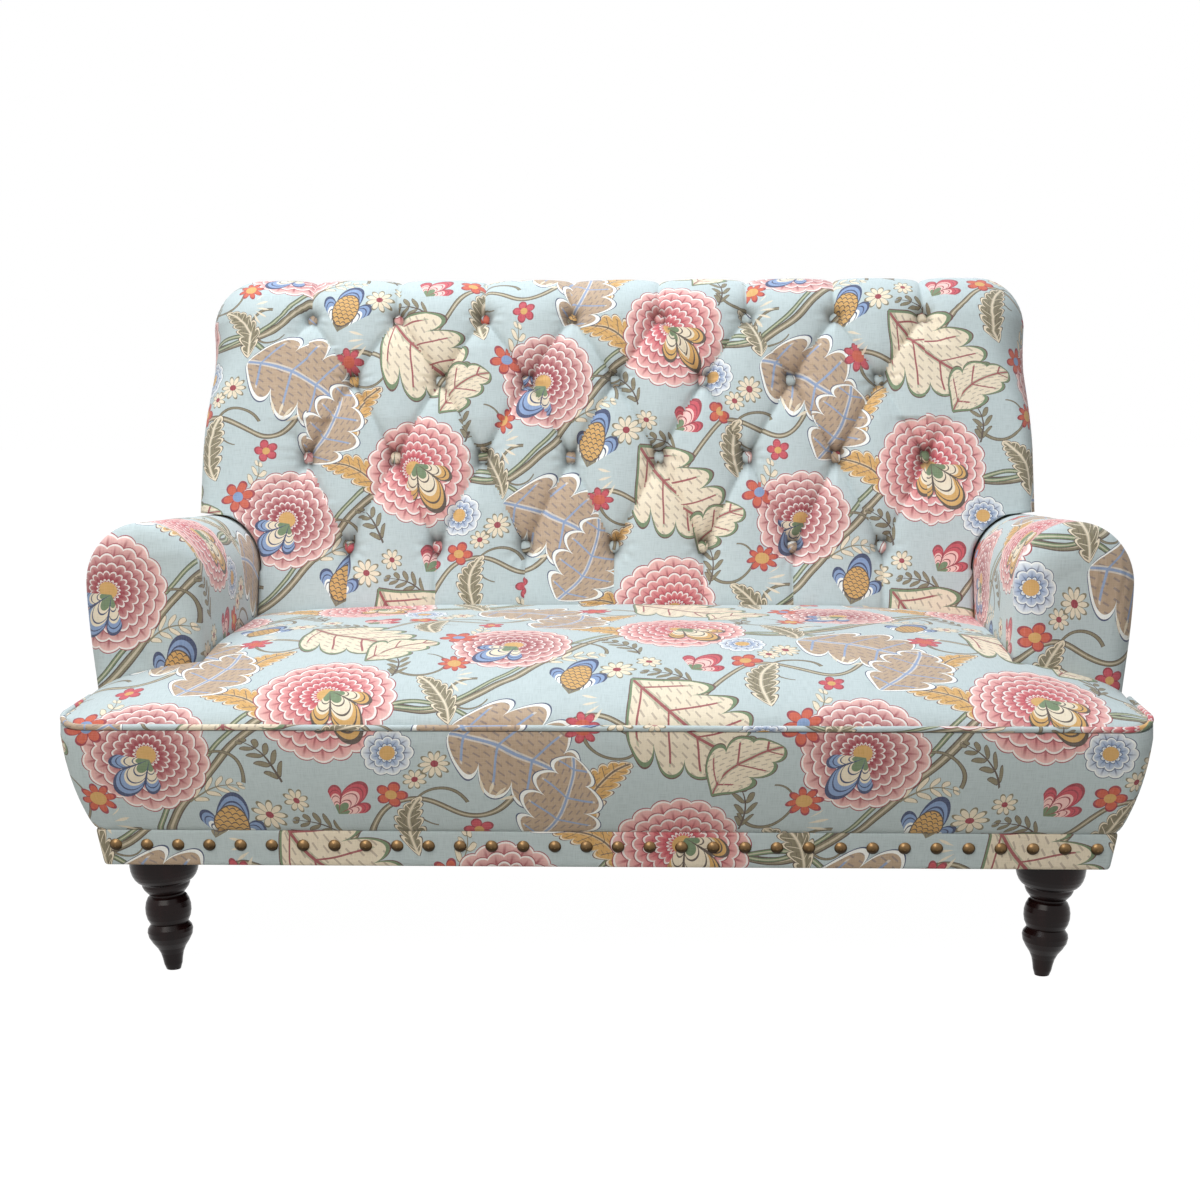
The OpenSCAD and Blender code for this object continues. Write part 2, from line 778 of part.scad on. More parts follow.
// Half width of the back where it is cut round the arm's roll
function cut_w(y, z) =
  let (k = clamp01((z - arm_top(y)) / (arm_roll_h + roll_clear)))
    arm_x + gap / 2 - ((arm_w - gap) / 2 + roll_clear) * sqrt(1 - k * k)
      + (k > 0 ? 0 : roll_clear - 3 * gap);
roll_clear = 3.5;
function back_half(s) =
  let (
    wide = s[6] == 1,
    turn = s[5],
    w = wide ? back_hw : cut_w(s[0][0], s[0][1] - gap),
    rx = wide ? mix(26, roll_end - 1, ease(turn)) : 10,
    ry = wide ? mix(30, s[4], turn) : 12,
    x1 = w - rx,
    deep = wide ? s[4] : s[3],
    in_x = wide ? max(post_out + gap, w - side_t) : w - 2
  )
  concat(
    wide ? [[in_x, deep], [w, deep]] : [[in_x - 1, deep - 0.5], [w, deep - 1.5]],
    [for (i = [0 : n_round - 1])
      let (a = 90 * (i + 0.5) / n_round) [x1 + rx * cos(a), ry * (1 - sin(a))]],
    [for (i = [0 : n_face - 1])
      let (x = i == 0 ? x1 : (n_face - i) * half_pitch / 3) [x, tuft(x, s[2])]]
  );
function back_ring(s) =
  let (
    h = back_half(s),
    n = len(h),
    wide = s[6] == 1,
    in_x = wide ? post_out + gap : cut_w(s[0][0], s[0][1] - gap) - 6,
    t = s[3],
    flat = concat([[in_x, t]], h, [[0, tuft(0, s[2])]],
      [for (i = [n - 1 : -1 : 0]) [-h[i][0], h[i][1]]], [[-in_x, t]])
  )
    [for (p = flat)
      [p[0], s[0][0] + p[1] * s[1][0], s[0][1] + p[1] * s[1][1]]];

module back_pad() {
  st = stations();
  rings = [for (s = st) back_ring(s)];
  turned = [for (i = [0 : len(st) - 2])
    let (v = (st[i][2] + st[i + 1][2]) / 2)
      [for (j = [0 : len(rings[0]) - 1])
        let (x = (rings[i][j][0] + rings[i][(j + 1) % len(rings[0])][0]) / 2)
          fold_a(x, v) < fold_b(x, v)]];
  color(print_blue)
    loft(rings, turned, feet = true);
}

// Buttons
button_sphere = (pow(button_d / 2, 2) + button_h * button_h) / (2 * button_h);
module covered_button() {
  translate([0, 0, gap])
    intersection() {
      translate([0, 0, button_h - button_sphere])
        sphere(r = button_sphere, $fn = 48);
      cylinder(d = button_d + 2, h = button_h + 1, $fn = 48);
    }
}

// How deep a button of a row lies, where its rim meets the sides of its tuft
function button_seat(row) =
  let (x = row % 2 == 0 ? 0 : half_pitch)
    mix(tuft_depth, tuft(x + half_pitch / 3, row), 1.5 * button_d / half_pitch) - 3 * gap;

module button_row(row, station, tilt) {
  n = row % 2 == 0 ? 3 : 3.5;
  at = station[0] + station[1] * button_seat(row);
  for (i = [-n : n])
    translate([i * button_pitch, at[0], at[1]])
      rotate([90 - tilt, 0, 0])
        covered_button();
}

module tuft_buttons() {
  color(print_blue) {
    for (r = [0 : 2])
      button_row(r, face_at(rows[r]), back_rake);
    button_row(3, roll_at(row_4_angle), 180 - row_4_angle);
  }
}

// Outside panels
module outside_back() {
  color(print_blue)
    intersection() {
      along_x([[rear_y, leg_h], [panel_y, leg_h], [panel_y, back_wide_z],
        [end_y - 1, end_z - 3], [end_y - panel_t, end_z - 3], [rear_y, back_wide_z]],
        -hw, hw);
      along_y([[-foot_x, leg_h], [foot_x, leg_h], [crease_x, crease_z],
        [arm_out_x(arm_z0), arm_z0], [back_hw, back_wide_z - 40],
        [back_hw - 4, end_z], [-back_hw + 4, end_z], [-back_hw, back_wide_z - 40],
        [-arm_out_x(arm_z0), arm_z0], [-crease_x, crease_z]],
        0, y_rear);
    }
}

module dust_cover() {
  color(cambric)
    difference() {
      box(-rail_x, rail_x, rail_y, rear_y, leg_h, rail_z0);
      for (s = [-1, 1])
        for (y = [leg_y, rear_leg_y])
          translate([s * leg_x, y, leg_h - 1])
            cylinder(d = bolt_d + 0.2, h = cover_t + 2, $fn = 32);
    }
}

// Legs
leg_y = rail_y + leg_d / 2 + 4;
rear_leg_y = inner_rail_y - 1.5 * bolt_d - 3;
bolt_in = 40;

// Turned outline from the top ring down: distance from the axis and depth. A bell
// under the ring, a neck, two beads and a tapered foot
function turned_outline() =
  let (k = leg_h / 160, r = leg_d / 94, foot_r = foot_d / 2)
  concat(
    [[0, -8], [47 * r, -8], [47 * r, 10 * k]],
    [for (a = [15 : 15 : 75]) [(30 + 17 * cos(a)) * r, (10 + 27 * sin(a)) * k]],
    [[33 * r, 37.5 * k], [32.4 * r, 41 * k], [30.6 * r, 45 * k], [27.4 * r, 49 * k]],
    [[24.4 * r, 52.4 * k], [23.6 * r, 55 * k]],
    [for (a = [-50 : 20 : 50]) [(18 + 13.3 * cos(a)) * r, (75 + 23 * sin(a)) * k]],
    [[25.4 * r, 94.5 * k]],
    [for (a = [-45 : 22.5 : 0]) [(18 + 13 * cos(a)) * r, (105.5 + 12 * sin(a)) * k]],
    [[29.6 * r, 113 * k], [25.2 * r, 121 * k], [19.4 * r, 129 * k]],
    [[foot_r + 2.6, 137 * k], [foot_r + 0.7, 145 * k], [foot_r - 0.6, 153 * k]],
    [[foot_r - 2.4, 158 * k], [foot_r - 4, 163 * k], [0, 163 * k]]
  );

module front_leg(side) {
  color(wood_dark)
    on_side(side)
      difference() {
        intersection() {
          translate([leg_x, leg_y, leg_h])
            rotate([0, leg_rake, 0])
              mirror([0, 0, 1])
                rotate_extrude($fn = 96)
                  polygon(turned_outline());
          box(leg_x - leg_d, leg_x + leg_d, leg_y - leg_d, leg_y + leg_d, 0, leg_h);
        }
        translate([leg_x, leg_y, leg_h - bolt_in])
          cylinder(d = bolt_d, h = bolt_in + 1, $fn = 32);
      }
}

module rear_leg(side) {
  a = rear_leg_w / 2;
  b = rear_foot_w / 2;
  color(wood_dark)
    on_side(side)
      translate([leg_x, rear_leg_y, 0])
        difference() {
          intersection() {
            along_x([[-a, leg_h], [a, leg_h], [b + rear_rake, 0], [-b + rear_rake, 0]], -a, a);
            along_y([[-a, leg_h], [a, leg_h], [b, 0], [-b, 0]], -leg_h, leg_h);
          }
          translate([0, 0, leg_h - bolt_in])
            cylinder(d = bolt_d, h = bolt_in + 1, $fn = 32);
        }
}

module leg_bolts() {
  color(steel)
    for (s = [-1, 1])
      for (y = [leg_y, rear_leg_y])
        translate([s * leg_x, y, leg_h - bolt_in])
          cylinder(d = bolt_d, h = bolt_in + cover_t + block_h + nut_h + 4, $fn = 32);
}

nut_h = bolt_d * 0.8;
washer_t = 2;
module leg_nuts() {
  color(steel)
    for (s = [-1, 1])
      for (y = [leg_y, rear_leg_y])
        translate([s * leg_x, y, rail_z0 + block_h])
          difference() {
            union() {
              cylinder(d = bolt_d * 3, h = washer_t, $fn = 48);
              cylinder(d = bolt_d * 1.8, h = nut_h, $fn = 6);
            }
            translate([0, 0, -1])
              cylinder(d = bolt_d + 0.2, h = nut_h + 2, $fn = 32);
          }
}

front_rail();
rear_rail();
side_rail(-1);  // left_side_rail
side_rail(1);  // right_side_rail
centre_rail();
front_corner_blocks();
rear_corner_blocks();
back_post(-1);  // left_back_post
back_post(1);  // right_back_post
back_bottom_rail();
back_top_rail();
back_uprights();
roll_formers();
arm_stump(-1);  // left_arm_stump
arm_stump(1);  // right_arm_stump
arm_rail(-1);  // left_arm_rail
arm_rail(1);  // right_arm_rail
tack_rail(-1);  // left_tack_rail
tack_rail(1);  // right_tack_rail
seat_springs();
spring_clips();
back_webbing();
seat_deck();
seat_foam();
seat_pad();
seat_welt();
front_border();
base_band();
nail_heads();
arm_pad(-1);  // left_arm_pad
arm_pad(1);  // right_arm_pad
arm_front(-1);  // left_arm_front
arm_front(1);  // right_arm_front
arm_rear(-1);  // left_arm_rear
arm_rear(1);  // right_arm_rear
outside_arm(-1);  // left_outside_arm
outside_arm(1);  // right_outside_arm
back_pad();
tuft_buttons();
outside_back();
dust_cover();
front_leg(-1);  // front_left_leg
front_leg(1);  // front_right_leg
rear_leg(-1);  // rear_left_leg
rear_leg(1);  // rear_right_leg
leg_bolts();
leg_nuts();
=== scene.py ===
"""Deep-buttoned roll-back loveseat: its upholstery, print, trim and stage, built
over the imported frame."""

import json
import math
from typing import NamedTuple

import bmesh
import bpy
from bpy.props import FloatProperty, FloatVectorProperty, PointerProperty
from mathutils import Matrix, Vector, noise


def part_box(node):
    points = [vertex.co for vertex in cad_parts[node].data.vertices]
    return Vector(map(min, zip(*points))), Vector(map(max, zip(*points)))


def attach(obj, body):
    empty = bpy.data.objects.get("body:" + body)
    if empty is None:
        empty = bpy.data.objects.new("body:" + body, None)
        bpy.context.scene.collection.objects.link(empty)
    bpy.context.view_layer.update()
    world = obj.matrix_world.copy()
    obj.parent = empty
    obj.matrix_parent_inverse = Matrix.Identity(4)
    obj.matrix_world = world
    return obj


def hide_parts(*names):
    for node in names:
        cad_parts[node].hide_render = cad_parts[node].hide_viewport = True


bl_info = {
    "name": "Buttoned Loveseat",
    "version": (1, 0, 0),
    "blender": (4, 5, 0),
    "location": "View3D > Sidebar > Loveseat",
    "description": "Builds the padded cover, print, nails and stage of a buttoned loveseat",
    "category": "Object",
}

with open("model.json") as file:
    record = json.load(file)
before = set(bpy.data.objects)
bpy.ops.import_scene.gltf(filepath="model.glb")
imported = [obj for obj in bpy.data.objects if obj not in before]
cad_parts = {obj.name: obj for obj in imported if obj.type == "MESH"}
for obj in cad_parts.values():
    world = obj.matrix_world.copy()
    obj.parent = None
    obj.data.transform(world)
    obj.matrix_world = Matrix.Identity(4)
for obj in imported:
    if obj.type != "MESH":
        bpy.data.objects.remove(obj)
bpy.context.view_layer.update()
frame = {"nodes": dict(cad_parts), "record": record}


# Sizes and colours

def length(label, words, value):
    return FloatProperty(name=label, description=words, default=value, unit="LENGTH")


def angle(label, words, degrees):
    return FloatProperty(
        name=label, description=words, default=math.radians(degrees), subtype="ANGLE")


def linear_light(c):
    """Shader value of a colour channel that is written from 0 to 255."""
    return c / 255 / 12.92 if c <= 10 else ((c / 255 + 0.055) / 1.055) ** 2.4


def colour(label, words, *channels):
    return FloatVectorProperty(
        name=label, description=words, default=[linear_light(c) for c in channels],
        size=3, min=0, max=1, subtype="COLOR")


class LoveseatSizes(bpy.types.PropertyGroup):
    width: length("Width", "Width over the two arm rolls", 1.452)
    depth: length("Depth", "Depth from the piped front edge to the rear of the back roll", 0.860)
    height: length("Height", "Height of the top of the back roll", 0.960)
    seat_width: length("Seat width", "Width over the piping of the seat's front edge", 1.444)
    seat_height: length("Seat height", "Height of the seat's crown", 0.450)
    edge_height: length("Edge height", "Height of the centre of the seat's piping", 0.357)
    welt: length("Piping", "Diameter of the piping", 0.008)
    corner: length("Corner", "Plan radius of the seat's front corners", 0.036)
    flare: length("Flare", "How far the piped edge stands out from the top of the base band", 0.040)
    leg_height: length("Leg height", "Height of the legs below the frame", 0.160)
    band_height: length("Band height", "Height of the nailed base band", 0.050)
    band_thick: length("Band thickness", "Thickness of the base band at its lower edge", 0.003)
    band_lean: length("Band lean", "How far the band's top edge stands out from its lower edge", 0.009)
    arm_width: length("Arm width", "Width of an arm roll", 0.163)
    arm_height: length("Arm height", "Height of the front of the arm roll", 0.612)
    arm_roll: length("Arm roll", "Height of the arm roll's upper curve", 0.086)
    arm_slope: angle("Arm fall", "Fall of the arm roll toward the back", 3.3)
    arm_setback: length("Arm setback", "Distance of the arm's front from the seat's front edge", 0.166)
    arm_pad: length("Arm padding", "Thickness of the arm's padding", 0.022)
    arm_dome: length("Arm front", "How far the arm's padded front is domed", 0.030)
    back_width: length("Back width", "Width of the back above the arms", 1.328)
    rake: angle("Back rake", "Angle of the back's front face from upright", 16.6)
    roll: length("Roll", "Radius of the roll along the top of the back", 0.086)
    overhang: length("Overhang", "How far the roll stands out behind the outside back", 0.085)
    roll_end: length("Roll end", "Width of the rounded end of the back roll", 0.082)
    back_pad: length("Back padding", "Thickness of the back's padding between the buttons", 0.060)
    pitch: length("Button pitch", "Distance between neighbouring buttons of a row", 0.141)
    row_1: length("First row", "Height of the lowest row of buttons", 0.536)
    row_2: length("Second row", "Height of the second row of buttons", 0.676)
    row_3: length("Third row", "Height of the third row of buttons", 0.801)
    tuft: length("Tuft depth", "Depth of the button tufts", 0.034)
    fold: length("Fold depth", "Depth of the folds between the buttons", 0.017)
    button: length("Button", "Diameter of a covered button", 0.021)
    repeat_x: length("Print repeat across", "Width of the print's repeat", 0.470)
    repeat_y: length("Print repeat along", "Length of the print's repeat", 0.480)


class LoveseatColours(bpy.types.PropertyGroup):
    ground: colour("Ground", "Duck-egg ground of the print", 185, 197, 198)
    cream: colour("Cream", "Cream of leaves and petals", 232, 216, 190)
    tan: colour("Tan", "Tan of the lobed leaves", 182, 154, 126)
    white: colour("White", "White rims", 244, 243, 238)
    navy: colour("Navy", "Navy outlines", 40, 52, 94)
    blue: colour("Blue", "Soft blue petals", 126, 150, 190)
    green: colour("Green", "Green leaf rims", 104, 126, 86)
    stem: colour("Stem", "Olive stems", 128, 116, 86)
    bark: colour("Bark", "Brown edge of the stems", 78, 58, 44)
    pink: colour("Pink", "Pale pink petals", 240, 192, 184)
    rose: colour("Rose", "Deep pink petals", 196, 62, 76)
    red: colour("Red", "Red outlines and veins", 150, 30, 48)
    orange: colour("Orange", "Orange petals", 200, 80, 46)
    gold: colour("Gold", "Golden leaves", 210, 160, 84)
    brown: colour("Brown", "Brown outlines", 96, 52, 46)
    espresso: colour("Espresso", "Stained wood of the legs", 38, 18, 17)
    brass: colour("Nails", "Antique nail heads", 150, 120, 84)


# Plain sums

def mix(a, b, t):
    return a + (b - a) * t


def clamp(t):
    return min(1.0, max(0.0, t))


def ease(t):
    return t * t * (3 - 2 * t)


def off_whole(v):
    return abs(v - round(v))


def spread(low, high, count):
    return [mix(low, high, k / (count - 1)) for k in range(count)]


def fall_off(r, width, power=2.0):
    """Falls from 1 in the middle to nothing past a width."""
    return math.exp(-(r / width) ** power)


def ripple(x, y, z, scale, size):
    return size * noise.noise(Vector((x / scale, y / scale, z / scale)))


def arc_lengths(points):
    total, out = 0.0, [0.0]
    for a, b in zip(points, points[1:]):
        total += (Vector(b) - Vector(a)).length
        out.append(total)
    return out


def both_sides(half):
    """A line from one side to the middle, and on to the other side."""
    return half + [(-x, *rest) for x, *rest in reversed(half[:-1])]


def closed(rows):
    """Rows that end where they start."""
    return [row + row[:1] for row in rows]


class Station(NamedTuple):
    """Line across the back: its place, the way inward, its row of buttons and its depths."""
    y: float
    z: float
    dy: float
    dz: float
    row: float
    pad: float
    deep: float
    turn: float
    wide: bool

    def inward(self, x, depth):
        return Vector((x, self.y + depth * self.dy, self.z + depth * self.dz))


class Form:
    """The loveseat's lines, worked out from its sizes. Lengths are metres."""

    # Between neighbouring pieces, and behind the cloth
    gap = 0.0003
    panel_thick = 0.004
    backing = 0.003
    # Where the seat meets the back, below its crown and ahead of the face
    seat_dip = 0.010
    seat_clear = 0.006
    # Arms: lower edge of the padding, seam of the outside panel, room round the roll
    arm_foot = 0.3335
    arm_seam_share = 0.68
    arm_clear = 0.0035
    above_arm = 0.002
    # Back: post, roll in degrees from straight back, rows along the face, lines of the mesh
    post_past_roll = 0.026
    roll_pad = 0.036
    roll_last = -70
    last_row_turn = 6
    fold_past_bend = 0.006
    row_step = 0.130
    low_lines, fold_lines, roll_lines = 50, 37, 80
    # Seat: depth of its crown's rise, width of the ears and how far their edges rise
    crown_run = 0.320
    ear = 0.050
    corner_lift = 0.009
    side_lift = 0.003

    def __init__(self, s):
        self.s = s
        self.half = s.width / 2
        self.front = -s.depth / 2
        self.rear = s.depth / 2
        self.lean = math.tan(s.rake)
        # Base
        self.crease_z = s.leg_height + s.band_height
        self.crease_x = s.seat_width / 2 - s.flare
        self.crease_y = self.front + s.flare
        self.foot_x = self.crease_x - s.band_lean
        self.foot_y = self.crease_y + s.band_lean
        self.rail_x = self.foot_x - s.band_thick
        self.rail_y = self.foot_y + s.band_thick
        self.panel_y = self.rear - s.overhang
        self.rear_y = self.panel_y - self.panel_thick
        # Piping and seat edge
        self.welt_x = s.seat_width / 2 - s.welt / 2
        self.welt_y = self.front + s.welt / 2
        self.edge_x = self.welt_x - s.welt / 2 - self.gap
        self.edge_y = self.welt_y + s.welt / 2 + self.gap
        self.edge_z = s.edge_height - s.welt / 2 - self.gap
        # Arms
        self.arm_x = self.half - s.arm_width / 2
        self.arm_in = self.half - s.arm_width
        self.arm_z = s.arm_height - s.arm_roll
        self.arm_y = self.front + s.arm_setback
        self.arm_seam = mix(self.crease_z, self.arm_z, self.arm_seam_share)
        self.arm_fall = math.tan(s.arm_slope)
        self.stump_y = self.arm_y + s.arm_dome
        self.pad_end = self.rear_y - self.panel_thick - self.gap
        # Back and its roll
        upright = math.cos(s.rake)
        self.back_at_seat = (self.rear - s.roll * (1 + upright * (1 - self.lean)) / upright
                             - self.lean * (s.height - s.seat_height + self.seat_dip))
        self.roll_y = self.rear - s.roll
        self.roll_z = s.height - s.roll
        self.tangent = self.roll_z + s.roll * math.sin(s.rake)
        self.roll_first = 180 - math.degrees(s.rake)
        self.last_row_angle = self.roll_first - self.last_row_turn
        self.back_half = s.back_width / 2
        self.post_out = self.back_half - s.roll_end + self.post_past_roll
        at_arm = self.back_at_seat + self.lean * (s.arm_height - s.seat_height)
        self.wide_z = s.arm_height + self.above_arm - self.arm_fall * (at_arm - self.arm_y)
        last = math.radians(self.roll_last)
        self.end_y = self.roll_y + s.roll * math.cos(last)
        self.end_z = self.roll_z + s.roll * math.sin(last)
        # Seat
        self.crown = s.seat_height - s.edge_height
        self.seat_back = self.face_y(s.seat_height) - self.seat_clear

    # Back
    def face_y(self, z):
        return self.back_at_seat + self.lean * (z - self.s.seat_height + self.seat_dip)

    def row_of(self, z):
        """Row of buttons at a height, with 0 for the lowest row."""
        s = self.s
        if z < s.row_2:
            return (z - s.row_1) / (s.row_2 - s.row_1)
        if z < s.row_3:
            return 1 + (z - s.row_2) / (s.row_3 - s.row_2)
        return 2 + (z - s.row_3) / (self.tangent + self.fold_past_bend - s.row_3)

    def reach(self, y, z, dy, dz):
        """How far a line inward from the face runs to the outside back or the roll's last line."""
        ends = [(self.rear_y, self.s.leg_height), (self.rear_y, self.wide_z),
                (self.end_y - self.panel_thick, self.end_z), (self.roll_y, self.roll_z)]
        for (ay, az), (by, bz) in zip(ends, ends[1:]):
            ey, ez = by - ay, bz - az
            across = dy * ez - dz * ey
            if -1e-4 <= (dz * (ay - y) - dy * (az - z)) / across <= 1.0001:
                return ((ay - y) * ez - (az - z) * ey) / across
        raise ValueError("a line inward from the back's face meets nothing")

    def face(self, z):
        """Line on the sloping face."""
        s = self.s
        turn = ease(clamp((z - s.row_2) / (self.tangent - s.row_2)))
        a = -max(s.arm_slope, s.rake * turn)
        dy, dz = math.cos(a), math.sin(a)
        deep = self.reach(self.face_y(z), z, dy, dz) - self.backing
        pad = mix(s.back_pad, self.roll_pad, turn)
        return Station(self.face_y(z), z, dy, dz, self.row_of(z), pad, deep, turn, z >= self.wide_z)

    def roll(self, degrees):
        """Line on the roll, by its angle from straight back."""
        a = math.radians(degrees)
        past = self.last_row_angle - degrees
        row = 3 + (0.06 * past / self.last_row_turn if past < 0 else past / 60)
        radius = self.s.roll
        return Station(self.roll_y + radius * math.cos(a), self.roll_z + radius * math.sin(a),
                       -math.cos(a), -math.sin(a), row, self.roll_pad, radius - self.backing, 1.0, True)

    def stations(self):
        s = self.s
        lines = [self.face(z) for z in spread(self.arm_foot, s.row_1, self.low_lines)[:-1]]
        for a, b in ((s.row_1, s.row_2), (s.row_2, s.row_3), (s.row_3, self.tangent)):
            lines += [self.face(z) for z in spread(a, b, self.fold_lines)[:-1]]
        return lines + [self.roll(d) for d in spread(self.roll_first, self.roll_last, self.roll_lines)]

    def tuft(self, x, v):
        """How far the buttons and folds draw the face in, at a row v of buttons."""
        s = self.s
        half_pitch = s.pitch / 2
        row = min(3, max(0, round(v)))
        odd = row % 2
        reach = (3.5 if odd else 3.0) * s.pitch
        near = off_whole(x / s.pitch - 0.5 * odd) * s.pitch
        down = (v - row) * self.row_step
        r = math.hypot(near, down)
        pit = 0.0
        if abs(x) < reach + half_pitch:
            pit = (s.tuft - s.fold) * (0.72 * fall_off(r, 0.0145, 2.6) + 0.60 * fall_off(r, 0.030, 1.3))
            gathers_and_painted_shade = math.sin(10 * math.atan2(down, near + 1e-6) + 3 * row)
            pit += 0.0013 * gathers_and_painted_shade * fall_off(r - 0.022, 0.012)
        inside = clamp((reach + half_pitch - abs(x)) / half_pitch)
        if 0 <= v <= 3:
            diamonds = [off_whole((x / half_pitch + turned) / 2) for turned in (v, -v)]
            off, fade = 2 * min(diamonds), 1.0
        else:
            off = near / half_pitch
            fade = clamp(1 + v / 2) if v < 0 else clamp(1 - (v - 3) / 2.6)
        crease = 0.52 * (1 - off) ** 2.3 + 0.48 * fall_off(off * half_pitch, 0.0045, 1)
        near_button = 0.86 + 0.34 * fall_off(r, 0.040)
        return pit + inside * fade * s.fold * crease * near_button

    def cut_round_arm(self, y, z):
        """Half the back's width at a height where the arm's roll cuts into it."""
        clear = self.arm_clear
        k = clamp((z - self.arm_top(y)) / (self.s.arm_roll + clear))
        across = (self.s.arm_width - self.gap) / 2 + clear
        w = self.arm_x + self.gap / 2 - across * math.sqrt(1 - k * k)
        return w if k > 0 else w + clear - 3 * self.gap

    # Arms
    def arm_top(self, y):
        """Height of the widest line of the arm's roll."""
        return self.arm_z - self.arm_fall * (y - self.arm_y)

    def arm_out(self, z):
        """Half width over the outside of the arms at a height."""
        t = clamp((z - self.crease_z) / (self.arm_z - self.crease_z))
        return self.crease_x + (self.half - self.crease_x) * (1 - (1 - t) ** 1.6)

    # Seat
    def lift(self, x, y):
        """How far the seat's edge rises from its front corners back along its sides."""
        outward = clamp((abs(x) - self.s.seat_width / 2 + self.ear) / (0.9 * self.ear))
        back = clamp((y - self.front) / self.ear)
        toward_arm = clamp((y - self.front) / self.s.arm_setback)
        return ease(outward) * (self.corner_lift * ease(back) + self.side_lift * toward_arm)

    def seat_lip(self, x, y):
        bowed = 0.0015 * (1 - (x / self.s.seat_width * 2) ** 2)
        return self.s.edge_height + 0.001 + bowed + self.lift(x, y)

    def seat_top(self, x, y):
        d = clamp((y - self.edge_y) / self.crown_run)
        along = (1 - (1 - d) ** 2) ** 0.6
        across = max(0.0, 1 - (abs(x) / (self.edge_x + 0.006)) ** 4) ** 0.47
        return max(self.seat_lip(x, y), self.s.edge_height + self.crown * along * across)

    def seat_half(self, y):
        """Half the seat's width, with its front corners rounded in plan."""
        d, corner = y - self.edge_y, self.s.corner
        if d >= corner:
            return self.edge_x
        return self.edge_x - corner + math.sqrt(max(0.0, corner ** 2 - (corner - d) ** 2))


def sizes():
    return bpy.context.scene.loveseat_sizes


def colours():
    return bpy.context.scene.loveseat_colours


# Making pieces

MATERIALS = {}
MIRRORED_PRINT = 0.17


def finish_piece(name, bm, slot, replaced, crease=None):
    """Closes a bmesh into an object that rides on the frame."""
    bmesh.ops.recalc_face_normals(bm, faces=bm.faces)
    mesh = bpy.data.meshes.new(name)
    bm.to_mesh(mesh)
    bm.free()
    mesh.materials.append(MATERIALS[slot])
    mesh.shade_smooth()
    if crease:
        mesh.set_sharp_from_angle(angle=math.radians(crease))
    piece = bpy.data.objects.new(name, mesh)
    bpy.context.scene.collection.objects.link(piece)
    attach(piece, "root")
    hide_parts(*replaced)
    return piece


def draped_grid(bm, points, flat, around, painted_shade_depths):
    """Lays a grid of quads over rows of points, and its place on the cloth on each
    corner. flat gets the corner's point, row and column, and the row and column
    of the middle of its face."""
    rows, columns = len(points) - 1, len(points[0]) - 1
    cloth = bm.loops.layers.uv.new("cloth")
    # Layer of each corner's depth in a button pit, by which the print material is darkened as painted shade
    drawn = bm.verts.layers.float.new("painted_pit_shade") if painted_shade_depths else None
    bmesh.ops.create_grid(bm, x_segments=columns, y_segments=rows, size=1)

    def place(co):
        return (co.y + 1) / 2 * rows, (co.x + 1) / 2 * columns

    at = {v: [round(k) for k in place(v.co)] for v in bm.verts}
    for face in bm.faces:
        middle = place(face.calc_center_median())
        for loop in face.loops:
            i, j = at[loop.vert]
            loop[cloth].uv = flat(points[i][j], i, j, middle)
    for v, (i, j) in at.items():
        v.co = points[i][j]
        if painted_shade_depths:
            v[drawn] = painted_shade_depths[i][j]
    if around:
        bmesh.ops.remove_doubles(bm, verts=bm.verts, dist=1e-6)


def close_ends(bm):
    open_edges = [e for e in bm.edges if e.is_boundary]
    if open_edges:
        filled = bmesh.ops.holes_fill(bm, edges=open_edges, sides=0)
        bmesh.ops.triangulate(bm, faces=filled["faces"])


def mirror(bm):
    """Turns a right-hand piece into a left-hand one, with its print shifted."""
    bmesh.ops.transform(bm, matrix=Matrix.Diagonal((-1, 1, 1, 1)), verts=bm.verts)
    cloth = bm.loops.layers.uv["cloth"]
    for face in bm.faces:
        for loop in face.loops:
            u, v = loop[cloth].uv
            loop[cloth].uv = (-u + MIRRORED_PRINT, v)


def cover(name, node, points, flat, crease=None, around=True, painted_shade_depths=None, side=1):
    """Piece in the print fabric over rows of points, in place of a CAD node."""
    bm = bmesh.new()
    draped_grid(bm, points, flat, around, painted_shade_depths)
    close_ends(bm)
    if side < 0:
        mirror(bm)
    return finish_piece(name, bm, "print_fabric", [node], crease)


# Node trees

TURN = 2 * math.pi
NUMBER = "NodeSocketFloat"
COLOUR = "NodeSocketColor"
VECTOR = "NodeSocketVector"


class Value:
    """A number in a node tree. Arithmetic on it adds Math nodes."""

    def __init__(self, tree, socket):
        self.tree = tree
        self.socket = socket

    def math(self, operation, *others):
        return math_node(self.tree, operation, self, *others)

    def __add__(self, other):
        return self.math("ADD", other)

    def __sub__(self, other):
        return self.math("SUBTRACT", other)

    def __rsub__(self, other):
        return math_node(self.tree, "SUBTRACT", other, self)

    def __mul__(self, other):
        return self.math("MULTIPLY", other)

    def __truediv__(self, other):
        return self.math("DIVIDE", other)

    def __pow__(self, other):
        return self.math("POWER", other)

    def __gt__(self, other):
        return self.math("GREATER_THAN", other)

    def __lt__(self, other):
        return self.math("LESS_THAN", other)

    def least(self, other):
        return self.math("MINIMUM", other)

    def most(self, other):
        return self.math("MAXIMUM", other)

    def held(self, high=1.0):
        return self.most(0).least(high)

    def floor(self):
        return self.math("FLOOR")

    def round(self):
        return self.math("ROUND")

    def fraction(self):
        return self.math("FRACT")

    def size(self):
        return self.math("ABSOLUTE")

    def off_middle(self):
        return (self.fraction() - 0.5).size()

    def sine(self):
        return self.math("SINE")

    def cosine(self):
        return self.math("COSINE")


def feed(tree, socket, part):
    """Links a node's output to an input socket, or writes a plain number or colour there."""
    if isinstance(part, Value):
        part = part.socket
    if isinstance(part, bpy.types.NodeSocket):
        tree.links.new(part, socket)
    else:
        socket.default_value = part


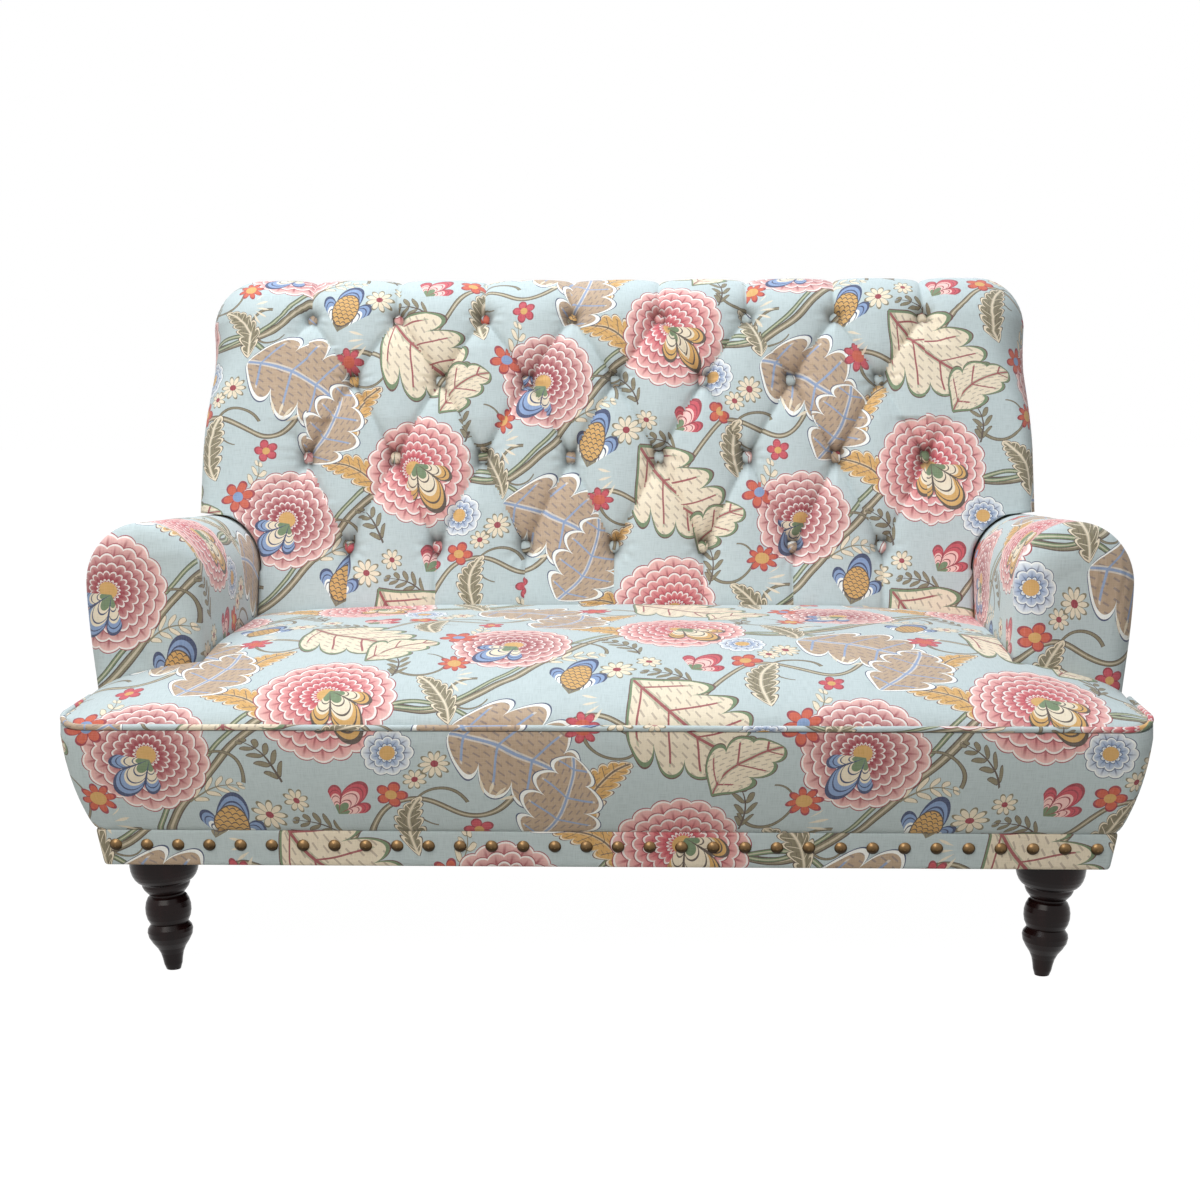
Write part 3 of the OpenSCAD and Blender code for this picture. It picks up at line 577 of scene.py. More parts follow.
def fill_in(tree, node, **values):
    for label, value in values.items():
        feed(tree, node.inputs[label.replace("_", " ")], value)


def math_node(tree, operation, *parts):
    node = tree.nodes.new("ShaderNodeMath")
    node.operation = operation
    for socket, part in zip(node.inputs, parts):
        feed(tree, socket, part)
    return Value(tree, node.outputs[0])


def painted(tree, paint, *coats):
    """Lays coats over a paint. Each has an amount and a colour."""
    for amount, over in coats:
        node = tree.nodes.new("ShaderNodeMix")
        node.data_type = "RGBA"
        for place, part in ((0, amount), (6, paint), (7, over)):
            feed(tree, node.inputs[place], part)
        paint = node.outputs[2]
    return paint


def axes(tree, vector):
    """The three numbers of a vector."""
    split = tree.nodes.new("ShaderNodeSeparateXYZ")
    tree.links.new(vector, split.inputs[0])
    return [Value(tree, out) for out in split.outputs]


def noise_node(tree, vector, scale, detail):
    node = tree.nodes.new("ShaderNodeTexNoise")
    fill_in(tree, node, Vector=vector, Scale=scale, Detail=detail)
    return node


def new_group(name, inputs, outputs):
    tree = bpy.data.node_groups.new(name, "ShaderNodeTree")
    for in_out, sockets in (("INPUT", inputs), ("OUTPUT", outputs)):
        for label, kind in sockets:
            tree.interface.new_socket(name=label, in_out=in_out, socket_type=kind)
    return tree, tree.nodes.new("NodeGroupInput"), tree.nodes.new("NodeGroupOutput")


def use_group(tree, group, **values):
    node = tree.nodes.new("ShaderNodeGroup")
    node.node_tree = group
    fill_in(tree, node, **values)
    return node


# Print: its motifs

PLACE = ("Across", "Along", "Turn", "Size")


def motif_place_group():
    """Place of a point seen from the nearest copy of a motif, in motif sizes."""
    s = sizes()
    labels = ("X", "Y", *PLACE)
    tree, entry, leave = new_group(
        "Motif place", [(k, NUMBER) for k in labels], [("X", NUMBER), ("Y", NUMBER)])
    x, y, across, along, turn, size = (Value(tree, entry.outputs[k]) for k in labels)
    dx = (x - across) / s.repeat_x
    column = dx.round()
    dx = (dx - column) * s.repeat_x
    dy = (y - along) / s.repeat_y - column * 0.5
    dy = (dy - dy.round()) * s.repeat_y
    cos, sin = turn.cosine(), turn.sine()
    fill_in(tree, leave, X=(dx * cos + dy * sin) / size, Y=(dy * cos - dx * sin) / size)
    return tree


def motif_group(name, place, draw, placing, numbers, paints):
    """Node group of a motif, which lays it over the colour under it. draw gives what
    the motif covers and its paint."""
    tree, entry, leave = new_group(
        name, [(k, NUMBER) for k in ("X", "Y", *placing, *numbers)]
        + [(k, COLOUR) for k in (*paints, "Under")], [("Colour", COLOUR)])
    spot = entry
    if placing:
        spot = use_group(tree, place, **{k: entry.outputs[k] for k in ("X", "Y", *placing)})
    x, y = (Value(tree, spot.outputs[k]) for k in "XY")
    read = {k: Value(tree, entry.outputs[k]) for k in numbers}
    read.update((k, entry.outputs[k]) for k in paints)
    cover_mask, paint = draw(tree, x, y, **{k.lower().replace(" ", "_"): v for k, v in read.items()})
    fill_in(tree, leave, Colour=painted(tree, entry.outputs["Under"], (cover_mask, paint)))
    return tree


def polar(x, y):
    """Distance and angle of a point from the middle of its motif."""
    return (x * x + y * y) ** 0.5, y.math("ARCTAN2", x)


def bent_line(x, y, bend):
    """Place along a bent midrib from its base, distance from it, and that distance with its side."""
    off = y - bend * (x * x * 4 - 1)
    return x + 0.5, off.size(), off


def vine(tree, x, y, start, sway, waves, phase, climb, thick, stem, outline, light):
    """Winding stem that climbs by a share of the repeat for each repeat across."""
    s = sizes()
    across = x / s.repeat_x
    wave = across * waves * TURN + phase
    d = (y - start - across * climb * s.repeat_y - wave.sine() * sway) / s.repeat_y
    d = (d - d.round()).size() * s.repeat_y
    steep = wave.cosine() * sway * waves * (TURN / s.repeat_x) + climb * (s.repeat_y / s.repeat_x)
    d = d / (steep * steep + 1) ** 0.5
    return d < thick, painted(tree, stem, (d > thick * 0.70, outline), ((d < thick * 0.26) * 0.55, light))


def rosette(tree, x, y, petals, rings, heart, deep, pale, light, rim, core):
    """Bloom of overlapping scalloped petals in rings."""
    r, turn = polar(x, y)
    half_petal = turn * petals * 0.5
    t = r * rings
    even_in = t - half_petal.sine().size() ** 0.7 * 0.42
    odd_in = t - half_petal.cosine().size() ** 0.7 * 0.42
    even = (even_in / 2).floor() * 2
    odd = ((odd_in - 1) / 2).floor() * 2 + 1
    ring = even.most(odd)
    tip = (even + 2 - even_in).least(odd + 2 - odd_in)
    depth = (1 - tip).held()
    veins = ((turn * petals * 2).cosine() - 0.35) * (tip - 0.3) * 1.5
    petal = painted(
        tree, deep, ((depth * 0.55 + ring / rings * 0.95 - 0.24).held(), pale), (veins.held(0.75), rim),
        ((tip > 0.09) * (tip < 0.30) * 0.75, light), (tip < 0.10, rim), (r < heart, core))
    return (ring < rings) * (t < rings + 0.5), petal


def leaf(tree, x, y, lobes, width, bend, cut, slant, rim_width, body, rim, outline, vein):
    """Lobed leaf along local x, from its base at -0.5 to its tip at 0.5."""
    u, v, bent = bent_line(x, y, bend)
    slanted = (u - v * slant) * lobes
    belly = (u * math.pi).sine().most(0) ** 0.55
    lobe = (slanted * math.pi).sine().size() ** 0.5
    w = (belly * width * (1 - cut + cut * lobe)).least(u / slant * 0.9)
    inside = w - v
    side_vein = slanted.off_middle() < 0.035
    lines = (bent + x * 0.25) * 19
    dashes = (lines.off_middle() < 0.13) * ((x * 60 + lines.floor() * 2.4).sine() > -0.1)
    paint = painted(
        tree, body, (dashes * 0.42, outline), ((side_vein * (v < w * 0.76)).most(v < 0.024) * 0.45, rim),
        ((side_vein * (v < w * 0.70)).most(v < 0.011) * 0.9, vein),
        (inside < rim_width, rim), (inside < 0.011, outline))
    return (inside > 0) * (u > 0.012) * (u < 1), paint


def sprig(tree, x, y, pairs, reach, bend, slim, leaflet, outline, stalk):
    """Bending stalk along local x with pairs of slim leaflets."""
    u, v, _ = bent_line(x, y, bend)
    off = ((u - v * 0.9) * pairs).off_middle()
    q = v / (reach * (u * math.pi).sine().most(0.001) ** 0.5)
    inside = (q.least(1) * math.pi).sine().most(0) ** 0.7 * slim - off
    leaflets = (inside > 0) * (q < 1) * (u > 0.06) * (u < 1)
    stem = (v < (1.4 - u) * 0.014) * (u > 0) * (u < 1)
    return leaflets.most(stem), painted(tree, leaflet, (inside < 0.07, outline), (stem, stalk))


def tendril(tree, x, y, sweep, curl, thick, stem, outline):
    """Curling stem that thins toward its end, from local x one turn round at most."""
    r, turn = polar(x, y)
    t = (turn / TURN).fraction() * TURN / sweep
    thick = thick * (1 - t * 0.65)
    off = (r - (1 - t * curl)).size()
    return (off < thick) * (t < 1), painted(tree, stem, (off > thick * 0.62, outline))


def strokes(tree, x, y, count, opening, stroke):
    """Spread of short tapering strokes that opens along local x."""
    r, turn = polar(x, y)
    side = turn.size() / opening
    t = (r - 0.34 - side * side * 0.12) / 0.60
    off = (turn * count / TURN).off_middle()
    return (off < (t.held() * math.pi).sine() * 0.17) * (side < 1) * 0.9, stroke


def bud(tree, x, y, plump, scale, outline):
    """Plump bud covered in scales."""
    row = x * 9
    across = (y * 7 + row.floor() * 0.5).fraction() - 0.5
    edge = (row.fraction() - (0.80 - across * across * 2.2)).size() < 0.13
    reach = (x * x) / 0.25 + (y * y) / (plump * plump)
    return reach < 1, painted(tree, scale, (edge.most(reach > 0.86), outline))


def daisy(tree, x, y, petals, slim, heart, petal, outline, core):
    """Small open flower with rounded or pointed petals."""
    r, turn = polar(x, y)
    lobe = (turn * petals * 0.5).cosine().size()
    t = r / ((1 - slim) + slim * lobe ** 0.8)
    edge = (t > 0.86).most((lobe < 0.22) * (r > heart))
    return t < 1, painted(tree, petal, (edge, outline), (r < heart, core))


def fan(tree, x, y, petals, opening, petal, band, outline, core):
    """Spray of striped petals that opens along local x."""
    r, turn = polar(x, y)
    side = turn.size() / opening
    lobe = (turn * petals).cosine().size()
    t = r / ((lobe ** 0.7 * 0.42 + 0.58) * (1.06 - side * side * 0.45))
    paint = painted(
        tree, petal, (t > 0.70, band), ((t * 5.0).fraction() < 0.17, outline), (t < 0.34, core),
        ((t > 0.92).most(lobe < 0.17), outline))
    return (t < 1) * (side < 1), paint


# How each motif is drawn, how it is placed, and its numbers and paints
MOTIFS = {
    "Vine": (vine, (), ("Start", "Sway", "Waves", "Phase", "Climb", "Thick"),
             ("Stem", "Outline", "Light")),
    "Rosette": (rosette, PLACE, ("Petals", "Rings", "Heart"), ("Deep", "Pale", "Light", "Rim", "Core")),
    "Leaf": (leaf, PLACE, ("Lobes", "Width", "Bend", "Cut", "Slant", "Rim width"),
             ("Body", "Rim", "Outline", "Vein")),
    "Sprig": (sprig, PLACE, ("Pairs", "Reach", "Bend", "Slim"), ("Leaflet", "Outline", "Stalk")),
    "Tendril": (tendril, PLACE, ("Sweep", "Curl", "Thick"), ("Stem", "Outline")),
    "Strokes": (strokes, PLACE, ("Count", "Opening"), ("Stroke",)),
    "Bud": (bud, PLACE, ("Plump",), ("Scale", "Outline")),
    "Daisy": (daisy, PLACE, ("Petals", "Slim", "Heart"), ("Petal", "Outline", "Core")),
    "Fan": (fan, PLACE, ("Petals", "Opening"), ("Petal", "Band", "Outline", "Core")),
}

# Colours of a motif's paints, in the order above
OLIVE_VINE = ("stem", "bark", "cream")
GREEN_VINE = ("green", "bark", "cream")
OLIVE = ("stem", "bark")
OLIVE_SPRIG = ("stem", "bark", "bark")
PALE_SPRIG = ("cream", "stem", "stem")
SAGE_LEAF = ("stem", "cream", "bark", "cream")
GOLD_LEAF = ("gold", "cream", "brown", "bark")
TAN_LEAF = ("tan", "white", "navy", "blue")
CREAM_LEAF = ("cream", "green", "brown", "red")
ROSE_BLOOM = ("rose", "pink", "white", "red", "gold")
RED_BLOOM = ("red", "pink", "white", "red", "gold")
BLUE_BLOOM = ("blue", "white", "white", "navy", "gold")
RUST_DAISY = ("orange", "red", "gold")
SMALL_DAISY = ("cream", "stem", "red")

# Motifs from the lowest up: for placed ones metres across and along the cloth, degrees
# of turn and metres of size, then the motif's own numbers and its colours
PRINT = [
    # Stems
    ("Vine", 0.02, 0.055, 1.0, 0.9, 0.5, 0.0062, OLIVE_VINE),
    ("Vine", 0.033, 0.060, 1.0, 1.1, 0.5, 0.0036, GREEN_VINE),
    ("Vine", 0.30, 0.040, 2.0, 2.4, 0.5, 0.0042, OLIVE_VINE),
    ("Vine", 0.17, 0.070, 1.0, 4.2, -0.5, 0.0040, GREEN_VINE),
    # Curls and sprigs off the stems
    ("Tendril", 0.222, 0.205, 200, 0.042, 4.2, 0.30, 0.075, OLIVE),
    ("Tendril", 0.432, 0.245, -20, 0.040, 4.0, 0.25, 0.075, OLIVE),
    ("Tendril", 0.300, 0.125, 80, 0.036, 4.4, 0.35, 0.080, OLIVE),
    ("Tendril", 0.020, 0.305, 150, 0.046, 3.6, 0.30, 0.070, OLIVE),
    ("Tendril", 0.255, 0.430, 20, 0.038, 4.2, 0.30, 0.075, OLIVE),
    ("Sprig", 0.178, 0.205, 100, 0.085, 5.0, 0.20, 0.15, 0.34, OLIVE_SPRIG),
    ("Sprig", 0.432, 0.215, 15, 0.080, 5.0, 0.22, -0.14, 0.34, PALE_SPRIG),
    ("Sprig", 0.020, 0.025, 130, 0.085, 5.0, 0.20, 0.12, 0.34, OLIVE_SPRIG),
    ("Sprig", 0.275, 0.345, 70, 0.075, 4.0, 0.22, 0.16, 0.34, PALE_SPRIG),
    ("Sprig", 0.085, 0.400, 160, 0.080, 5.0, 0.22, 0.14, 0.34, OLIVE_SPRIG),
    # Leaves
    ("Leaf", 0.245, 0.118, 118, 0.105, 7.0, 0.20, 0.14, 0.42, 0.90, 0.035, SAGE_LEAF),
    ("Leaf", 0.010, 0.215, 60, 0.115, 7.0, 0.20, -0.16, 0.42, 0.90, 0.030, GOLD_LEAF),
    ("Leaf", 0.455, 0.345, 150, 0.115, 6.0, 0.22, 0.18, 0.40, 0.90, 0.030, GOLD_LEAF),
    ("Leaf", 0.228, 0.395, 85, 0.115, 7.0, 0.19, -0.15, 0.42, 0.90, 0.035, SAGE_LEAF),
    ("Leaf", 0.352, 0.022, -28, 0.190, 4.0, 0.42, -0.10, 0.42, 0.30, 0.042, TAN_LEAF),
    ("Leaf", 0.400, 0.440, 64, 0.150, 4.0, 0.40, 0.12, 0.42, 0.30, 0.048, TAN_LEAF),
    ("Leaf", 0.118, 0.335, -38, 0.205, 4.0, 0.40, 0.10, 0.40, 0.85, 0.036, CREAM_LEAF),
    ("Leaf", 0.190, 0.250, 38, 0.120, 3.0, 0.34, -0.16, 0.34, 0.85, 0.045, CREAM_LEAF),
    # Scaly bud in its calyx, and a striped tulip
    ("Fan", 0.424, 0.126, 72, 0.088, 4.2, 0.80, ("white", "blue", "navy", "stem")),
    ("Bud", 0.436, 0.164, 72, 0.062, 0.34, ("gold", "bark")),
    ("Fan", 0.118, 0.425, 52, 0.062, 3.6, 0.95, ("pink", "rose", "red", "green")),
    # Blooms
    ("Rosette", 0.104, 0.118, 10, 0.088, 20.0, 6.0, 0.14, ROSE_BLOOM),
    ("Fan", 0.108, 0.126, -60, 0.080, 3.6, 1.0, ("cream", "gold", "bark", "green")),
    ("Rosette", 0.340, 0.275, 0, 0.080, 18.0, 6.0, 0.16, RED_BLOOM),
    ("Fan", 0.344, 0.268, -130, 0.070, 3.4, 1.0, ("cream", "blue", "navy", "green")),
    # Small flowers
    ("Rosette", 0.190, 0.040, 0, 0.031, 10.0, 3.0, 0.34, BLUE_BLOOM),
    ("Daisy", 0.262, 0.312, 15, 0.027, 6.0, 0.55, 0.30, ("orange", "red", "blue")),
    ("Daisy", 0.268, 0.205, 10, 0.024, 8.0, 0.50, 0.42, RUST_DAISY),
    ("Daisy", 0.250, 0.020, 0, 0.021, 10.0, 0.50, 0.24, SMALL_DAISY),
    ("Daisy", 0.225, 0.000, 20, 0.016, 8.0, 0.50, 0.26, SMALL_DAISY),
    ("Daisy", 0.020, 0.420, 0, 0.024, 9.0, 0.52, 0.22, SMALL_DAISY),
    ("Daisy", 0.060, 0.446, 20, 0.018, 8.0, 0.50, 0.24, SMALL_DAISY),
    ("Daisy", 0.195, 0.455, 0, 0.022, 5.0, 0.45, 0.34, RUST_DAISY),
    ("Daisy", 0.302, 0.395, 30, 0.020, 5.0, 0.45, 0.30, ("rose", "red", "gold")),
    ("Daisy", 0.445, 0.072, 0, 0.024, 7.0, 0.50, 0.40, ("rose", "red", "orange")),
    # Strokes on the ground
    ("Strokes", 0.150, 0.222, 60, 0.040, 14.0, 1.0, ("cream",)),
    ("Strokes", 0.262, 0.165, -20, 0.040, 14.0, 1.1, ("cream",)),
    ("Strokes", 0.318, 0.440, 60, 0.042, 14.0, 1.0, ("cream",)),
    ("Strokes", 0.010, 0.352, 200, 0.040, 14.0, 1.0, ("cream",)),
]

WOBBLE_SCALE = 9.0
WOBBLE = 0.022


def print_group():
    """Half-drop print of blooms, lobed leaves and winding stems on a pale ground."""
    c = colours()
    paint = {k: (*getattr(c, k), 1.0) for k in LoveseatColours.__annotations__}
    place = motif_place_group()
    groups = {name: motif_group(name, place, *parts) for name, parts in MOTIFS.items()}
    tree, entry, leave = new_group("Floral print", [("Cloth", VECTOR)], [("Colour", COLOUR)])
    cloth = entry.outputs["Cloth"]
    wobble = axes(tree, noise_node(tree, cloth, WOBBLE_SCALE, 1.0).outputs["Color"])
    x, y = (at + (off - 0.5) * WOBBLE for at, off in zip(axes(tree, cloth)[:2], wobble))
    under = paint["ground"]
    for name, *numbers, chosen in PRINT:
        _, placing, labels, paints = MOTIFS[name]
        values = dict(zip((*placing, *labels), numbers))
        if placing:
            values["Turn"] = math.radians(values["Turn"])
        values.update(zip(paints, (paint[k] for k in chosen)))
        under = use_group(tree, groups[name], X=x, Y=y, Under=under, **values).outputs["Colour"]
    fill_in(tree, leave, Colour=under)
    return tree


SLUB_LENGTH, SLUB_WIDTH, THREADS = 55, 900, 5200


def weave_group():
    """Slubby plain weave: a shade to darken the print by, and a height."""
    tree, entry, leave = new_group(
        "Linen weave", [("Cloth", VECTOR)], [("Shade", NUMBER), ("Height", NUMBER)])
    x, y, _ = axes(tree, entry.outputs["Cloth"])

    def slubs(stretch_x, stretch_y):
        join = tree.nodes.new("ShaderNodeCombineXYZ")
        fill_in(tree, join, X=x * stretch_x, Y=y * stretch_y)
        return Value(tree, noise_node(tree, join.outputs[0], 1.0, 2.0).outputs["Fac"])

    shade = (slubs(SLUB_LENGTH, SLUB_WIDTH) + slubs(SLUB_WIDTH, SLUB_LENGTH)) * 0.5
    threads = (x * THREADS).sine() * (y * THREADS).sine()
    fill_in(tree, leave, Shade=shade, Height=shade + threads * 0.25)
    return tree


# Materials

def new_material(name):
    material = bpy.data.materials.new(name)
    material.use_nodes = True
    tree = material.node_tree
    return material, tree, tree.nodes["Principled BSDF"]


def add_bump(tree, shader, height, distance, strength=1.0):
    bump = tree.nodes.new("ShaderNodeBump")
    fill_in(tree, bump, Strength=strength, Distance=distance, Height=height)
    fill_in(tree, shader, Normal=bump.outputs[0])


def print_fabric(printed, weave):
    material, tree, shader = new_material("Print fabric")
    uv = tree.nodes.new("ShaderNodeUVMap")
    uv.uv_map = "cloth"
    pattern = use_group(tree, printed, Cloth=uv.outputs[0])
    cloth = use_group(tree, weave, Cloth=uv.outputs[0])
    shade = Value(tree, cloth.outputs["Shade"])
    # Painted shade: the print is darkened toward near black where the back is drawn deep into its button pits
    # and the folds beside them
    drawn = tree.nodes.new("ShaderNodeAttribute")
    drawn.attribute_name = "painted_pit_shade"
    gathers_and_painted_shade = Value(tree, drawn.outputs["Fac"]) ** 1.4 * 0.80
    faded, shaded, painted_fold_shade = (0.93, 0.95, 0.96, 1), (0.16, 0.18, 0.18, 1), (0.030, 0.022, 0.018, 1)
    tone = painted(tree, pattern.outputs["Colour"], ((shade - 0.30).held() * 0.34, faded),
                   ((0.52 - shade).held() * 0.9, shaded), (gathers_and_painted_shade, painted_fold_shade))
    fill_in(tree, shader, Base_Color=tone, Roughness=0.86, Sheen_Weight=0.18, Sheen_Roughness=0.5,
            Specular_IOR_Level=0.25)
    add_bump(tree, shader, cloth.outputs["Height"], 0.00022)
    return material


FINISH_INPUTS = [("Place", VECTOR), ("Tint", COLOUR), ("Dark", COLOUR)]
ROUGH_OUTPUTS = [("Colour", COLOUR), ("Roughness", NUMBER), ("Height", NUMBER)]


def noise_value(tree, place, scale, detail=3.0):
    return Value(tree, noise_node(tree, place, scale, detail).outputs["Fac"])


def wood_group():
    """Grain of a wood, with broad darker patches."""
    tree, entry, leave = new_group(
        "Wood grain", [*FINISH_INPUTS, ("Scale", NUMBER), ("Stretch", VECTOR), ("Roughness", NUMBER)],
        ROUGH_OUTPUTS)
    place, tint, dark, scale, stretch, roughness = entry.outputs[:6]
    mapping = tree.nodes.new("ShaderNodeMapping")
    fill_in(tree, mapping, Vector=place, Scale=stretch)
    grain = noise_value(tree, mapping.outputs[0], scale, 5.0)
    broad = noise_value(tree, place, 9.0, 2.0)
    tone = painted(tree, dark, (((grain - 0.42) * 3.2).held(), tint), ((broad - 0.4).most(0) * 0.5, dark))
    fill_in(tree, leave, Colour=tone, Roughness=grain * 0.18 + Value(tree, roughness), Height=grain)
    return tree


def metal_group():
    """Worn patches on a metal, and painted shade on what faces down with a painted highlight on what faces
    up.
    """
    tree, entry, leave = new_group(
        "Metal wear", [*FINISH_INPUTS, ("Facing", VECTOR), ("Roughness", NUMBER), ("Patina", NUMBER)],
        ROUGH_OUTPUTS)
    place, tint, dark, facing, *numbers = entry.outputs[:6]
    roughness, painted_shading = (Value(tree, socket) for socket in numbers)
    wear = noise_value(tree, place, 260.0)
    broad = noise_value(tree, place, 40.0, 2.0)
    # Painted highlight and shade: lighter where the surface faces up and darker where it faces down, by the
    # given share
    up = axes(tree, facing)[2]
    wear_and_painted_shade = ((wear + broad) * 0.5 - 0.38) * 4.0 * (1 - painted_shading) + (up * 1.1 + 0.34) * painted_shading
    fill_in(tree, leave, Colour=painted(tree, dark, (wear_and_painted_shade.held(), tint)),
            Roughness=roughness + 0.25 - wear * 0.25, Height=wear)
    return tree


def threads_group():
    """Plain crossing threads with some mottling."""
    tree, entry, leave = new_group(
        "Plain threads", [*FINISH_INPUTS, ("Scale", NUMBER)], [("Colour", COLOUR), ("Height", NUMBER)])
    place, tint, dark, size = entry.outputs[:4]
    scale = Value(tree, size)
    x, y, z = axes(tree, place)
    threads = ((x + z * 0.31) * scale).sine() * ((y + z * 0.77) * scale).sine()
    mottle = noise_value(tree, place, 60.0)
    tone = painted(tree, tint, ((mottle * 0.6 + threads * 0.25).held(), dark))
    fill_in(tree, leave, Colour=tone, Height=threads + mottle)
    return tree


class Kind(NamedTuple):
    """Kind of finish: its group, its bump's distance and strength, and its plain settings."""
    group: bpy.types.NodeTree
    distance: float
    strength: float
    settings: dict


def finished(name, kind, tint, dark, **values):
    """Material of a kind, laid over the piece it is on."""
    material, tree, shader = new_material(name)
    spot = tree.nodes.new("ShaderNodeTexCoord")
    node = use_group(tree, kind.group, Tint=(*tint, 1), Dark=(*dark, 1), **values)
    for label, source in (("Place", "Object"), ("Facing", "Normal")):
        if label in node.inputs:
            feed(tree, node.inputs[label], spot.outputs[source])
    fill_in(tree, shader, Base_Color=node.outputs["Colour"], **kind.settings)
    if "Roughness" in node.outputs:
        fill_in(tree, shader, Roughness=node.outputs["Roughness"])
    add_bump(tree, shader, node.outputs["Height"], kind.distance, kind.strength)
    return material


def make_materials():
    c = colours()
    stain, nail_dark = [v * 0.35 for v in c.espresso], [v * 0.13 for v in c.brass]
    wood = Kind(wood_group(), 0.0003, 0.5, {"Specular IOR Level": 0.20})
    metal = Kind(metal_group(), 0.0004, 0.4, {"Metallic": 1.0})
    cloth = Kind(threads_group(), 0.0004, 0.6, {"Roughness": 0.92})
    return {
        "print_fabric": print_fabric(print_group(), weave_group()),
        "leg_wood": finished(
            "Espresso wood", wood, c.espresso, stain, Roughness=0.16, Scale=40.0, Stretch=(1, 1, 0.08)),
        "frame_wood": finished("Frame timber", wood, (0.50, 0.33, 0.18), (0.34, 0.20, 0.10),
                               Roughness=0.55, Scale=22.0, Stretch=(0.1, 1, 1)),
        "spring_steel": finished("Spring steel", metal, (0.52, 0.52, 0.53), (0.30, 0.30, 0.31),
                                 Roughness=0.32, Patina=0.0),
        # Nail heads get a painted highlight on top and painted shade below, by how each part faces
        "nail_brass": finished("Antique nail", metal, c.brass, nail_dark, Roughness=0.24, Patina=0.8),
        "jute_webbing": finished(
            "Jute webbing", cloth, (0.44, 0.30, 0.14), (0.26, 0.17, 0.08), Scale=2400.0),
        "foam": finished("Upholstery foam", cloth, (0.80, 0.70, 0.40), (0.66, 0.56, 0.30), Scale=900.0),
        "black_cambric": finished(
            "Black cambric", cloth, (0.018, 0.018, 0.020), (0.008, 0.008, 0.009), Scale=3000.0),
    }


class LOVESEAT_OT_frame_finishes(bpy.types.Operator):
    """Gives the rigid pieces of the frame their finishes"""
    bl_idname = "loveseat.frame_finishes"
    bl_label = "Frame finishes"

    def execute(self, context):
        MATERIALS.update(make_materials())
        slots = {p["node"]: p["material_slot"] for p in frame["record"]["subparts"]}
        for name, node in frame["nodes"].items():
            for place in node.material_slots:
                place.material = MATERIALS[slots[name]]
        return {"FINISHED"}


# How much longer the cloth is than the buttoned face it covers
FULL_ACROSS, FULL_ALONG = 1.16, 1.06


